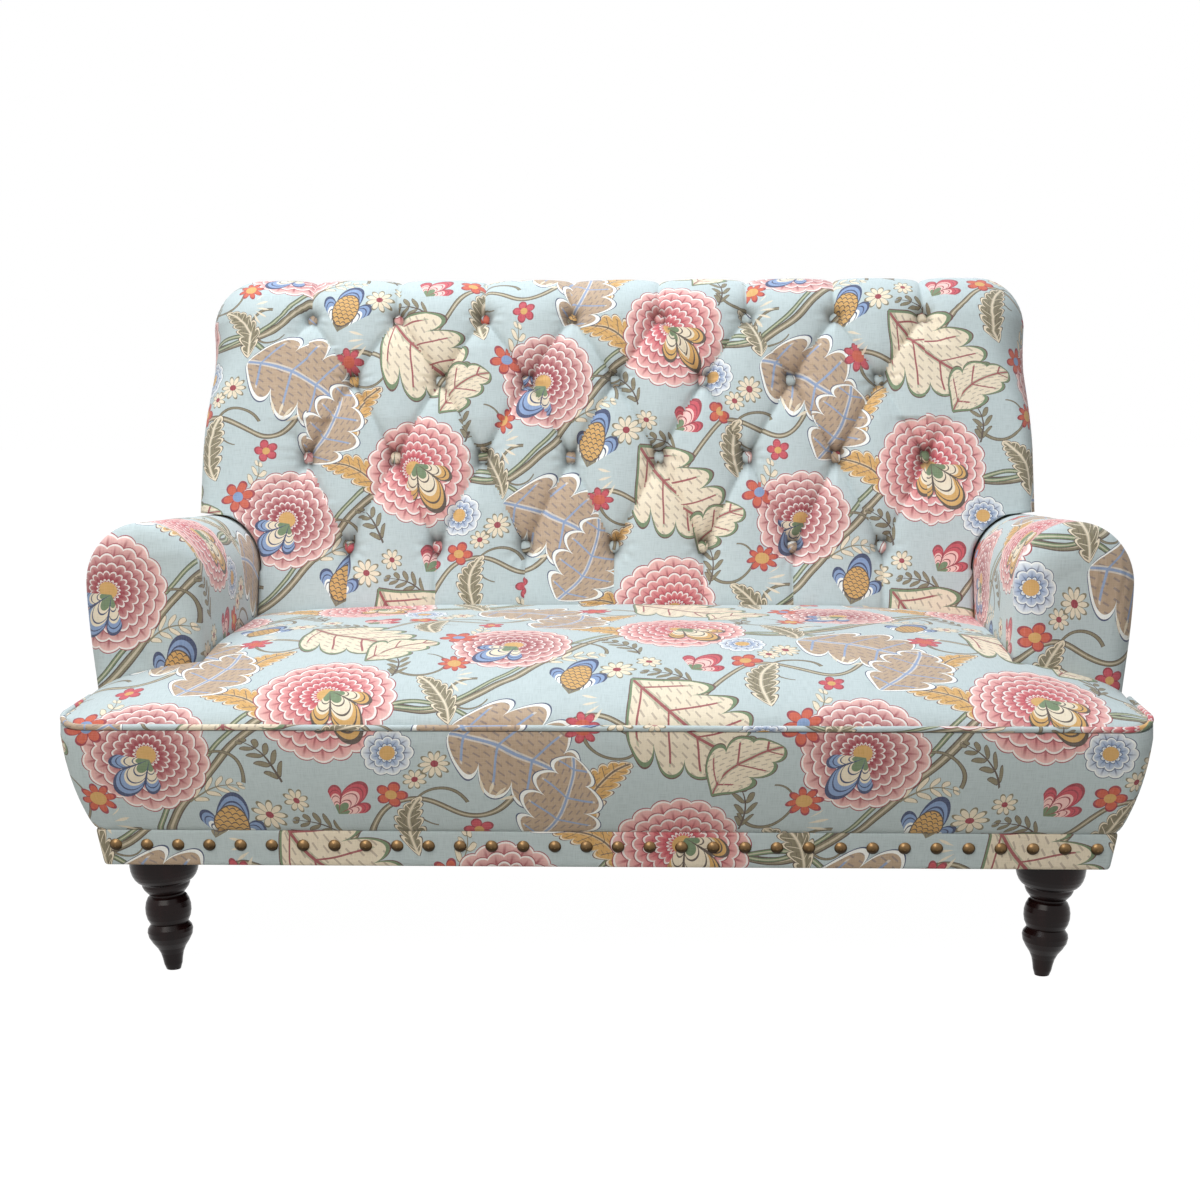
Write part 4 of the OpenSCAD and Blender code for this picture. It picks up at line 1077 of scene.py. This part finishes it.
class LOVESEAT_OT_back(bpy.types.Operator):
    """Buttoned, rolled back with its diamond folds and pleats"""
    bl_idname = "loveseat.back"
    bl_label = "Buttoned back"

    # Rounding of the sides above the arms, and beside them
    side_across, side_deep = 0.026, 0.030
    arm_across, arm_deep = 0.010, 0.012

    def half_line(self, form, st, inner_x):
        """A station's points from its hidden edge, round the side and to the middle:
        x and depth."""
        hidden, under_pad, turned_in = form.post_out + form.gap, 0.0015, 0.020
        if st.wide:
            w = form.back_half
            rx = mix(self.side_across, form.s.roll_end - 0.001, ease(st.turn))
            ry = mix(self.side_deep, st.deep, st.turn)
            out = [(hidden, st.pad), (max(hidden, w - turned_in), st.deep), (w, st.deep)]
        else:
            w = form.cut_round_arm(st.y, st.z - form.gap)
            rx, ry = self.arm_across, self.arm_deep
            out = [(w - 0.006, st.pad), (w - 0.003, st.pad - 0.0005), (w, st.pad - under_pad)]
        for a in spread(4, 88, 12):
            a = math.radians(a)
            out.append((w - rx + rx * math.cos(a), ry * (1 - math.sin(a))))
        out += [(mix(w - rx, inner_x[0], t), 0.0) for t in (0, 0.2, 0.4, 0.6, 0.8)]
        return out + [(x, min(form.tuft(x, st.row), st.pad - under_pad)) for x in inner_x]

    def unrolled(self, points, line, inner):
        """Each point's x, with the rounded sides laid out flat beyond the inner part."""
        lengths = arc_lengths(points)
        first = next(k for k, x in enumerate(line) if x <= inner + 1e-9)
        last = len(line) - 1 - first
        right = [inner + lengths[first] - r for r in lengths[:first]]
        left = [-inner - (r - lengths[last]) for r in lengths[last + 1:]]
        return right + line[first:last + 1] + left

    def execute(self, context):
        s, form = sizes(), Form(sizes())
        half_pitch = s.pitch / 2
        steps_a_half_pitch, inner_steps = 20, 146
        inner_x = [k * half_pitch / steps_a_half_pitch for k in range(inner_steps, -1, -1)]
        shallow = 0.013
        stations = form.stations()
        points, xs, painted_shade_depths = [], [], []
        for st in stations:
            line = both_sides(self.half_line(form, st, inner_x))
            row, drawn = [], []
            for x, d in line:
                p = st.inward(x, d)
                d += ripple(x, p.y, p.z, 0.09, 0.0011)
                row.append(st.inward(x, d))
            # Depth of each point into a button pit or fold, by which the print material is darkened as
            # painted shade
            for x, d in line:
                drawn.append(clamp((d - shallow) / (s.tuft - shallow)) if abs(x) <= inner_x[0] else 0)
            points.append(row)
            xs.append([x for x, _ in line])
            painted_shade_depths.append(drawn)
        sides = closed([self.unrolled(row, line, inner_x[0]) for row, line in zip(points, xs)])
        xs = closed(xs)
        rows = [st.row for st in stations]
        along = arc_lengths([(0, st.y, st.z) for st in stations])

        def length_at(v):
            """Length along the face to a row of buttons."""
            i = next(i for i in range(1, len(rows)) if rows[i] >= v)
            return mix(along[i - 1], along[i], (v - rows[i - 1]) / (rows[i] - rows[i - 1]))

        row_lengths = [length_at(v) for v in range(4)]
        outermost = 3.5 * s.pitch

        def flat(p, i, j, middle):
            """Each diamond's cloth lies flat round its middle. The folds take up the rest."""
            x, r = xs[i][j], along[i]
            low, column = int(middle[0]), int(middle[1])
            v = mix(rows[low], rows[min(low + 1, len(rows) - 1)], middle[0] - low)
            cx = (xs[low][column] + xs[low][min(column + 1, len(xs[low]) - 1)]) / 2
            if abs(cx) > outermost:
                beyond = sides[i][j] - math.copysign(outermost, cx)
                return math.copysign(outermost * FULL_ACROSS, cx) + beyond, r * FULL_ALONG
            mid_r = r
            if v < 0:
                mid_x = (math.floor(cx / s.pitch) + 0.5) * s.pitch
            elif v > 3:
                mid_x = round(cx / s.pitch) * s.pitch
            else:
                a, b = (math.floor((cx / half_pitch + turned) / 2) for turned in (v, -v))
                mid_x, mid_r = half_pitch * (a + b + 1), row_lengths[a - b]
            return mid_x * FULL_ACROSS + x - mid_x, mid_r * FULL_ALONG + (r - mid_r)

        piece = cover("back_cover", "back_pad", closed(points), flat, painted_shade_depths=closed(painted_shade_depths))
        return {"FINISHED"}


class LOVESEAT_OT_buttons(bpy.types.Operator):
    """Covered buttons, drawn into the back"""
    bl_idname = "loveseat.buttons"
    bl_label = "Covered buttons"

    def execute(self, context):
        s, form = sizes(), Form(sizes())
        flatness, sunk = 0.72, s.tuft + 0.0005
        print_shift_row, print_shift = 0.013, 0.29
        on_roll = form.last_row_angle
        rows = [(form.face(z), s.rake) for z in (s.row_1, s.row_2, s.row_3)]
        rows.append((form.roll(on_roll), math.radians(180 - on_roll)))
        bm = bmesh.new()
        cloth = bm.loops.layers.uv.new("cloth")
        for row, (st, tilt) in enumerate(rows):
            count = 8 if row % 2 else 7
            for k in range(count):
                x = (k - (count - 1) / 2) * s.pitch
                button = bmesh.ops.create_uvsphere(bm, u_segments=20, v_segments=12, radius=s.button / 2)
                turn = (Matrix.Translation(st.inward(x, sunk)) @ Matrix.Rotation(math.pi / 2 - tilt, 4, "X")
                        @ Matrix.Diagonal((1, 1, flatness, 1)))
                bmesh.ops.transform(bm, matrix=turn, verts=button["verts"])
                for face in {f for v in button["verts"] for f in v.link_faces}:
                    for loop in face.loops:
                        co = loop.vert.co
                        loop[cloth].uv = (co.x * FULL_ACROSS + print_shift_row * row,
                                          co.z * FULL_ALONG + print_shift * k)
        piece = finish_piece("buttons", bm, "print_fabric", ["tuft_buttons"])
        return {"FINISHED"}


class LOVESEAT_OT_seat(bpy.types.Operator):
    """Crowned tight seat, with its ears in front of the arms"""
    bl_idname = "loveseat.seat"
    bl_label = "Tight seat"

    ear_steps, top_steps = 22, 110
    drawn_in = 0.003

    def half_line(self, form, y, w, low_y):
        """From the lower edge over the ear, or up the side beside an arm, then to the middle."""
        inner = form.arm_in - form.gap
        wide = w > form.arm_in
        if wide:
            out = [(w, low_y, form.edge_z + form.lift(w, y)), (w, y, form.seat_lip(w, y))]
            out += [(x, y, form.seat_top(x, y)) for x in spread(w, inner, self.ear_steps + 1)[1:-1]]
        else:
            out = [(w - self.drawn_in, low_y, form.edge_z)]
            for t in spread(0, 1, self.ear_steps + 2)[1:-1]:
                out.append((w - self.drawn_in * (1 - math.sin(math.pi * t)), mix(low_y, y, t),
                            mix(form.edge_z, form.seat_top(w, y) - 0.006, t)))
        for k in range(self.top_steps + 1):
            x = inner * (1 - k / self.top_steps)
            out.append((x if wide or k else x - self.drawn_in - 0.001, y, form.seat_top(x, y)))
        return out

    def execute(self, context):
        s, form = sizes(), Form(sizes())
        print_start = 0.31
        line = form.arm_y - form.gap
        rings = []
        for t in spread(0, 1, 45):
            y = form.edge_y + 0.0004 + (line - 0.001 - form.edge_y) * t ** 1.7
            rings.append((y, form.seat_half(y), y))
        for y in spread(line, form.seat_back, 80):
            leaning = y - form.lean * (s.seat_height - form.edge_z)
            low_y = leaning if y > form.seat_back - 0.0005 else min(y, form.seat_back - 0.060)
            rings.append((y, form.arm_in - form.gap, low_y))
        points = []
        for ring in rings:
            row = []
            for x, y, z in both_sides(self.half_line(form, *ring)):
                wrinkle = 0
                if z > form.edge_z + 0.02:
                    wrinkle = ripple(x, y, z, 0.16, 0.0016) + ripple(x, y, z, 0.05, 0.0005)
                row.append(Vector((x, y, z + wrinkle)))
            points.append(row)
        along = arc_lengths([row[len(row) // 2] for row in points])
        piece = cover("seat_cover", "seat_pad", closed(points),
                      lambda p, i, j, middle: (p.x, along[i] + print_start), 70)
        return {"FINISHED"}


def skirt_path(x, y, y_end, r, sides=20, arcs=10, straight=240):
    """Right side, front and left side of the seat box, with rounded corners."""
    right = [(x, mix(y_end, y + r, k / sides)) for k in range(sides)]
    turn = [(x - r + r * math.cos(a), y + r + r * math.sin(a)) for a in spread(0, -math.pi / 2, arcs + 1)]
    front = [(mix(x - r, -x + r, k / straight), y) for k in range(1, straight)]
    half = right + turn
    return half + front + [(-px, py) for px, py in reversed(half)]


def skirt_points(rings, inner, low, high, wrinkled, scale, size):
    """Rings of a skirt round the seat box, with its hidden inner side, some of them wrinkled."""
    rings += [[(x, y, z) for x, y in inner] for z in (high, low)]
    points = [[Vector(p) for p in ring] for ring in rings + rings[:1]]
    for ring in points[wrinkled]:
        for p in ring:
            p.y += ripple(p.x, p.y, p.z, scale, size)
    return points


def from_middle(points):
    """Length along a line of points from its middle, falling."""
    lengths = arc_lengths(points)
    return [lengths[-1] / 2 - r for r in lengths]


class LOVESEAT_OT_border(bpy.types.Operator):
    """Flared border between the piping and the base band"""
    bl_idname = "loveseat.border"
    bl_label = "Front border"

    def execute(self, context):
        s, form = sizes(), Form(sizes())
        low, high = form.crease_z + form.gap, form.edge_z - form.gap
        y_end = form.arm_y - form.gap
        widest, foremost = form.welt_x + s.welt / 4, form.welt_y - s.welt / 4
        bulge, sewn_in, lines = 0.005, 0.002, 30
        cloth_height, print_start = 0.152, 0.1555
        rings = []
        for t in spread(0, 1, lines):
            out = s.flare * t ** 0.85 + bulge * math.sin(math.pi * t) - sewn_in * math.exp(-t * 30)
            x, y = min(form.crease_x + out, widest), max(form.crease_y - out, foremost)
            path = skirt_path(x, y, y_end, mix(0.012, s.corner, t))
            rings.append([(x, y, mix(low, high + form.lift(x, y), t)) for x, y in path])
        inner = skirt_path(form.rail_x + form.gap, form.rail_y - form.gap, y_end, 0.0012)
        points = skirt_points(rings, inner, low, high, slice(1, lines - 1), 0.12, 0.0010)
        across = from_middle(points[lines // 2])
        top = lines - 1
        piece = cover("border_cover", "front_border", points, lambda p, i, j, middle:
                      (across[j], min(i, top) / top * cloth_height + print_start), 60)
        return {"FINISHED"}


class LOVESEAT_OT_band(bpy.types.Operator):
    """Base band under the nail heads, turned under at its hem"""
    bl_idname = "loveseat.band"
    bl_label = "Base band"

    def execute(self, context):
        s, form = sizes(), Form(sizes())
        heights = [0, 0.03, 0.1, 0.2, 0.35, 0.5, 0.65, 0.8, 0.92, 0.97, 1]
        turned_under, print_start, side_steps = 0.0015, 0.085, 60
        rings = []
        for t in heights:
            rounded = turned_under * math.exp(-t * 40) + turned_under * math.exp(-(1 - t) * 30)
            out = s.band_lean * t - rounded
            corner = mix(0.006, 0.010, t)
            path = skirt_path(form.foot_x + out, form.foot_y - out, form.rear_y, corner, side_steps)
            rings.append([(x, y, s.leg_height + s.band_height * t) for x, y in path])
        off = form.gap / 2
        inner = skirt_path(form.rail_x + off, form.rail_y - off, form.rear_y, 0.0006, side_steps)
        points = skirt_points(rings, inner, s.leg_height, form.crease_z, slice(2, 9), 0.06, 0.0006)
        across = from_middle(points[5])
        heights += [1, 0, 0]
        piece = cover("band_cover", "base_band", points, lambda p, i, j, middle:
                      (across[j], heights[i] * s.band_height + print_start), 50)
        return {"FINISHED"}


class LOVESEAT_OT_piping(bpy.types.Operator):
    """Piping along the seat's edge"""
    bl_idname = "loveseat.piping"
    bl_label = "Piping"

    def execute(self, context):
        s, form = sizes(), Form(sizes())
        path = skirt_path(form.welt_x, form.welt_y, form.arm_y - form.gap, s.corner + s.welt / 2,
                          sides=50, arcs=16, straight=560)
        points = []
        for k, (x, y) in enumerate(path):
            a, b = path[max(0, k - 1)], path[min(len(path) - 1, k + 1)]
            d = Vector((b[0] - a[0], b[1] - a[1])).normalized()
            r = s.welt / 2 * (1 + 0.06 * noise.noise(Vector((x * 60, y * 60, 3.0))))
            z = s.edge_height + form.lift(x, y) + ripple(x, y, 0, 0.1, 0.0006)
            points.append([Vector((x + r * math.cos(t) * d.y, y - r * math.cos(t) * d.x, z + r * math.sin(t)))
                           for t in spread(0, TURN, 15)])
        along = from_middle([ring[0] for ring in points])
        bias_across, bias_along, round_step, print_start = 0.8, 0.62, 0.0018, 0.41
        piece = cover("piping", "seat_welt", points, lambda p, i, j, middle:
                      (along[i] * bias_across + j * round_step,
                       along[i] * bias_along + print_start - j * round_step))
        return {"FINISHED"}


def arm_contour(form, o, foot, y, low_ends=True, outer=None):
    """Outline of the arm at a depth, drawn in by o, from its inner foot over the top.
    outer(z), where given, says how far its outer side is drawn in."""
    s = form.s
    top = form.arm_top(y)
    rx, ry = (s.arm_width - form.gap) / 2 - o, s.arm_roll - o
    line = [(form.arm_in + form.gap + o, mix(foot, top, k / 24)) for k in range(24)]
    line += [(form.arm_x + form.gap / 2 + rx * math.cos(a), top + ry * math.sin(a))
             for a in spread(math.pi, 0, 41)]
    heights = spread(top, form.arm_seam, 12)[1:]
    if low_ends:
        heights += spread(form.arm_seam, foot, 12)[1:]
    return line + [(form.arm_out(z) - (outer(z) if outer else o), z) for z in heights]


class LOVESEAT_OT_arms(bpy.types.Operator):
    """Rolled arms with their domed fronts, and the flat panels below and behind"""
    bl_idname = "loveseat.arms"
    bl_label = "Rolled arms"

    # Where the print starts on the arm's front and top, its outside and its rear
    front_print, outside_print, rear_print = 0.55, (1.1, 0.1), 0.3

    def execute(self, context):
        form = Form(sizes())
        for side, name in ((-1, "left"), (1, "right")):
            self.padded_arm(form, side, name)
            self.front(form, side, name)
            self.outside_panel(form, side, name)
            self.rear_panel(form, side, name)
        return {"FINISHED"}

    def padded_arm(self, form, side, name):
        points = []
        for y in spread(form.stump_y, form.pad_end, 60):
            outer = arm_contour(form, 0, form.arm_foot, y, False)
            inner = arm_contour(form, form.s.arm_pad, form.arm_foot, y, False)
            row = []
            for k, (x, z) in enumerate(outer):
                z += ripple(x * side, y, z, 0.08, 0.0010) if 3 < k < len(outer) - 3 else 0
                row.append(Vector((x, y, z)))
            points.append(row + [Vector((x, y, z)) for x, z in reversed(inner)])
        lengths = closed([arc_lengths(points[0])])[0]
        start = form.arm_in + self.front_print
        piece = cover(f"{name}_arm_cover", f"{name}_arm_pad", closed(points), lambda p, i, j, middle:
                      (form.stump_y - p.y + start, lengths[j] + form.arm_foot), 70, side=side)

    def front(self, form, side, name):
        s = form.s
        rounding_lines, face_lines = 22, 16
        firm, soft, middle = s.arm_dome + 0.006, s.arm_dome + 0.022, 0.0798

        def outline(edge, turned, inward, y):
            """Outline turned over an edge of a given width, then inward to the middle line."""
            o = mix(edge * turned, middle, inward)

            def outer(z):
                firmness = mix(0.2, 1, ease(clamp((z - form.arm_foot) / 0.100)))
                return mix(edge * turned * firmness, middle, inward)

            return arm_contour(form, o, form.arm_foot - 0.012 + o * 0.15, y, outer=outer)

        def drawn_in(turned, inward, y):
            """Outline of the front at a depth, softest above the seat."""
            row = []
            for a, b in zip(outline(firm, turned, inward, y), outline(soft, turned, inward, y)):
                t = ease(clamp((a[1] - s.seat_height) / 0.080))
                row.append(Vector((mix(a[0], b[0], t), y, mix(a[1], b[1], t))))
            return row

        points = []
        for t in spread(0, 1, rounding_lines):
            a = math.pi / 2 * (1 - t)
            points.append(drawn_in(1 - math.sin(a), 0, mix(form.stump_y - form.gap, form.arm_y, math.cos(a))))
        points += [drawn_in(1, inward, form.arm_y) for inward in spread(0, 1, face_lines)[1:]]
        for i, row in enumerate(points[1:], 1):
            pulled = math.sin(math.pi * clamp(i / 30))
            for p, along in zip(row, arc_lengths(row)):
                above = ease(clamp((p.z - s.seat_height) / 0.060))
                p.y += ripple(along, side, 0, 0.024, 0.0026) * pulled * above
                p.y += ripple(p.x * side, p.y, p.z, 0.07, 0.0012) * clamp(i / 3)
        piece = cover(f"{name}_arm_face", f"{name}_arm_front", closed(points),
                      lambda p, i, j, middle: (p.x + self.front_print, p.z), 70, side=side)

    def outside_panel(self, form, side, name):
        low, high = form.crease_z + form.gap, form.arm_seam - form.gap
        step = form.arm_foot - 0.014
        heights = spread(low, step, 12) + spread(step + 0.0002, high, 12)
        front_y = [form.arm_y if z <= step else form.stump_y for z in heights]
        inner = (23, 17, 12, 11, 6, 0)
        lines = [(k, 0.0006 * math.sin(math.pi * k / 23)) for k in range(len(heights))]
        lines += [(k, -form.panel_thick) for k in inner]
        points = [[Vector((form.arm_out(heights[k]) + out, mix(front_y[k], form.rear_y, t), heights[k]))
                   for k, out in lines] for t in spread(0, 1, 60)]
        across, up = self.outside_print
        piece = cover(f"{name}_outside_panel", f"{name}_outside_arm", closed(points),
                      lambda p, i, j, middle: (-p.y + across, p.z + up), 50, side=side)

    def rear_panel(self, form, side, name):
        edge, inmost = 0.0046, 0.0736
        points = []
        for o in spread(edge, inmost, 12):
            y = form.rear_y - 0.0008 * math.exp(-(o - edge) * 400)
            points.append([Vector((x, y, z)) for x, z in arm_contour(form, o, form.arm_foot, form.rear_y)])
        points.insert(0, [Vector((p.x, form.pad_end + form.gap, p.z)) for p in points[0]])
        piece = cover(f"{name}_arm_back_panel", f"{name}_arm_rear", points,
                      lambda p, i, j, middle: (-p.x + self.rear_print, p.z), 50, around=False, side=side)


class LOVESEAT_OT_outside_back(bpy.types.Operator):
    """Outside back, pulled tight from the roll to the base"""
    bl_idname = "loveseat.outside_back"
    bl_label = "Outside back"

    def half_width(self, form, z):
        s, foot = form.s, form.arm_foot
        if z < form.crease_z:
            return mix(form.foot_x, form.crease_x, (z - s.leg_height) / s.band_height)
        if z < foot:
            return mix(form.crease_x, form.arm_out(foot), (z - form.crease_z) / (foot - form.crease_z))
        low = form.wide_z - 0.040
        if z < low:
            return mix(form.arm_out(foot), form.back_half, (z - foot) / (low - foot))
        return mix(form.back_half, form.back_half - 0.004, clamp((z - low) / (form.end_z - low)))

    def execute(self, context):
        s, form = sizes(), Form(sizes())
        hem, hem_edge, print_start = 0.004, 0.0012, 0.2
        profile = [(form.panel_y, z) for z in spread(s.leg_height, form.wide_z, 60)]
        profile += [(mix(form.panel_y, form.end_y - 0.001, t), mix(form.wide_z, form.end_z - 0.003, t))
                    for t in spread(0, 1, 26)[1:]]
        points = []
        for y, z in profile:
            w = self.half_width(form, z)
            row = [Vector((w, y - hem, z)), Vector((w, y - hem_edge, z))]
            for x in spread(w - 0.002, -w + 0.002, 120):
                row.append(Vector((x, y + ripple(x, y, z, 0.2, 0.0008) * (1 - (x / w) ** 4), z)))
            points.append(row + [Vector((-w, y - hem_edge, z)), Vector((-w, y - hem, z))])
        # Gussets that close the ends of the roll
        top = points[-1]
        for t in (0.10, 0.24, 0.40, 0.56, 0.72, 0.88):
            row = []
            for p in top:
                deep = t * mix(0.03, 1, clamp((abs(p.x) - form.post_out) / 0.014))
                row.append(Vector((p.x, mix(form.end_y, form.roll_y, deep) - 0.0014,
                                   mix(form.end_z, form.roll_z, deep) - 0.0005)))
            for k in (0, -1):
                row[k].y -= hem - hem_edge
            points.append(row)
        along = arc_lengths([row[60] for row in points])
        piece = cover("outside_back_cover", "outside_back", closed(points),
                      lambda p, i, j, middle: (-p.x, along[i] + print_start), 50)
        return {"FINISHED"}


class LOVESEAT_OT_underside(bpy.types.Operator):
    """Thin cloth pulled tight under the frame"""
    bl_idname = "loveseat.underside"
    bl_label = "Underside cloth"

    def execute(self, context):
        low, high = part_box("dust_cover")
        wide, deep = high[0] - low[0], high[1] - low[1]
        middle_y = (low[1] + high[1]) / 2
        clearance, sag = 0.0006, 0.0035
        bm = bmesh.new()
        bmesh.ops.create_grid(bm, x_segments=80, y_segments=44, size=0.5)
        for v in bm.verts:
            x, y = v.co.x * wide, v.co.y * deep
            slack = max(0, 1 - (x / wide * 2.4) ** 2) * max(0, 1 - (y / deep * 2.9) ** 2)
            z = low[2] + clearance - sag * slack + slack * ripple(x, y, 0, 0.12, 0.002)
            v.co = (x, y + middle_y, z)
        piece = finish_piece("underside_cloth", bm, "black_cambric", ["dust_cover"])
        wall = piece.modifiers.new("Thickness", "SOLIDIFY")
        wall.thickness = 0.0008
        wall.offset = 1.0
        return {"FINISHED"}


# Stage

# Name, place, aim, size, power in watts and tint of each softbox
LAMPS = [
    ("Overhead softbox", (-0.5, -0.25, 2.9), (0, 0, 0.4), (2.6, 1.8), 69, (0.87, 0.945, 1.0)),
    ("Rear softbox", (0.9, 2.9, 2.7), (0, 0, 0.6), (2.4, 1.6), 30, (0.90, 0.955, 1.0)),
    ("Front softbox", (-1.3, -2.9, 2.5), (0, 0, 0.5), (2.6, 1.8), 57, (1.0, 0.975, 0.92)),
]
FLOOR_REACH = 14
FLOOR_TINT = (0.44, 0.42, 0.38, 1)
FLOOR_GLOW = 1.13
FLOOR_GLOW_SHARE = 0.88
STUDIO_LIGHT = (0.35, 0.36, 0.37, 1)
WHITE = (1, 1, 1, 1)
CAMERA_PLACE = (0.0983, -3.030, 0.850)
CAMERA_YAW, CAMERA_DOWN, CAMERA_ROLL = 2.164, 7.096, -0.238
CAMERA_LENS = 60.957


def seen_directly(tree):
    """1 where the camera sees a background, straight or through metal or glass."""
    path = tree.nodes.new("ShaderNodeLightPath")
    camera, glossy, clear = (Value(tree, path.outputs[f"Is {ray} Ray"])
                             for ray in ("Camera", "Glossy", "Transmission"))
    return camera.most(glossy).most(clear)


def clear_tree(owner):
    owner.use_nodes = True
    owner.node_tree.nodes.clear()
    return owner.node_tree


def floor_material():
    """Plain matte floor that shows near white and keeps the piece's shadow."""
    material = bpy.data.materials.new("Pale floor")
    tree = clear_tree(material)
    out, matte, white, join = (tree.nodes.new(f"ShaderNode{kind}") for kind in
                               ("OutputMaterial", "BsdfDiffuse", "Emission", "MixShader"))
    fill_in(tree, matte, Color=FLOOR_TINT)
    fill_in(tree, white, Color=WHITE, Strength=FLOOR_GLOW)
    shows_white = seen_directly(tree) * FLOOR_GLOW_SHARE
    for place, part in enumerate((shows_white, matte.outputs[0], white.outputs[0])):
        feed(tree, join.inputs[place], part)
    fill_in(tree, out, Surface=join.outputs[0])
    return material


class LOVESEAT_OT_stage(bpy.types.Operator):
    """Pale floor, soft lights and the camera"""
    bl_idname = "loveseat.stage"
    bl_label = "Stage"

    def add(self, context, name, data):
        thing = bpy.data.objects.new(name, data)
        context.scene.collection.objects.link(thing)
        return thing

    def floor(self, context):
        mesh = bpy.data.meshes.new("floor")
        bm = bmesh.new()
        bmesh.ops.create_grid(bm, x_segments=1, y_segments=1, size=FLOOR_REACH)
        bm.to_mesh(mesh)
        bm.free()
        mesh.materials.append(floor_material())
        ground = self.add(context, "floor", mesh)

    def world(self, context):
        context.scene.world = bpy.data.worlds.new("Studio")
        tree = clear_tree(context.scene.world)
        out, glow = (tree.nodes.new(f"ShaderNode{kind}") for kind in ("OutputWorld", "Background"))
        fill_in(tree, glow, Color=painted(tree, STUDIO_LIGHT, (seen_directly(tree), WHITE)))
        fill_in(tree, out, Surface=glow.outputs[0])

    def lamp(self, context, name, place, aim, size, power, tint):
        light = bpy.data.lights.new(name, "AREA")
        light.shape = "RECTANGLE"
        light.size, light.size_y = size
        light.energy = power
        light.color = tint
        turn = (Vector(aim) - Vector(place)).to_track_quat("-Z", "Y").to_matrix().to_4x4()
        self.add(context, name, light).matrix_world = Matrix.Translation(place) @ turn

    def camera(self, context):
        camera = bpy.data.cameras.new("Camera")
        camera.sensor_width = 36
        camera.lens = CAMERA_LENS
        place = Matrix.Translation(CAMERA_PLACE)
        for degrees, axis in ((CAMERA_YAW, "Z"), (90 - CAMERA_DOWN, "X"), (CAMERA_ROLL, "Z")):
            place @= Matrix.Rotation(math.radians(degrees), 4, axis)
        view = self.add(context, "Camera", camera)
        view.matrix_world = place
        context.scene.camera = view

    def execute(self, context):
        context.scene.view_settings.view_transform = "Standard"
        self.floor(context)
        self.world(context)
        for lamp in LAMPS:
            self.lamp(context, *lamp)
        self.camera(context)
        return {"FINISHED"}


OPERATORS = [
    LOVESEAT_OT_frame_finishes, LOVESEAT_OT_back, LOVESEAT_OT_buttons, LOVESEAT_OT_seat, LOVESEAT_OT_border,
    LOVESEAT_OT_band, LOVESEAT_OT_piping, LOVESEAT_OT_arms, LOVESEAT_OT_outside_back,
    LOVESEAT_OT_underside, LOVESEAT_OT_stage,
]


class LOVESEAT_PT_pieces(bpy.types.Panel):
    """Lists the loveseat's pieces, sizes and colours"""
    bl_label = "Loveseat"
    bl_idname = "LOVESEAT_PT_pieces"
    bl_space_type = "VIEW_3D"
    bl_region_type = "UI"
    bl_category = "Loveseat"

    def draw(self, context):
        for operator in OPERATORS:
            self.layout.operator(operator.bl_idname)
        for group in (context.scene.loveseat_sizes, context.scene.loveseat_colours):
            column = self.layout.column()
            for key in group.__annotations__:
                column.prop(group, key)


CLASSES = [LoveseatSizes, LoveseatColours, *OPERATORS, LOVESEAT_PT_pieces]


def register():
    for item in CLASSES:
        bpy.utils.register_class(item)
    bpy.types.Scene.loveseat_sizes = PointerProperty(type=LoveseatSizes)
    bpy.types.Scene.loveseat_colours = PointerProperty(type=LoveseatColours)


def unregister():
    del bpy.types.Scene.loveseat_colours
    del bpy.types.Scene.loveseat_sizes
    for item in reversed(CLASSES):
        bpy.utils.unregister_class(item)


def main():
    register()
    for operator in OPERATORS:
        group, name = operator.bl_idname.split(".")
        getattr(getattr(bpy.ops, group), name)()


if __name__ == "__main__":
    main()
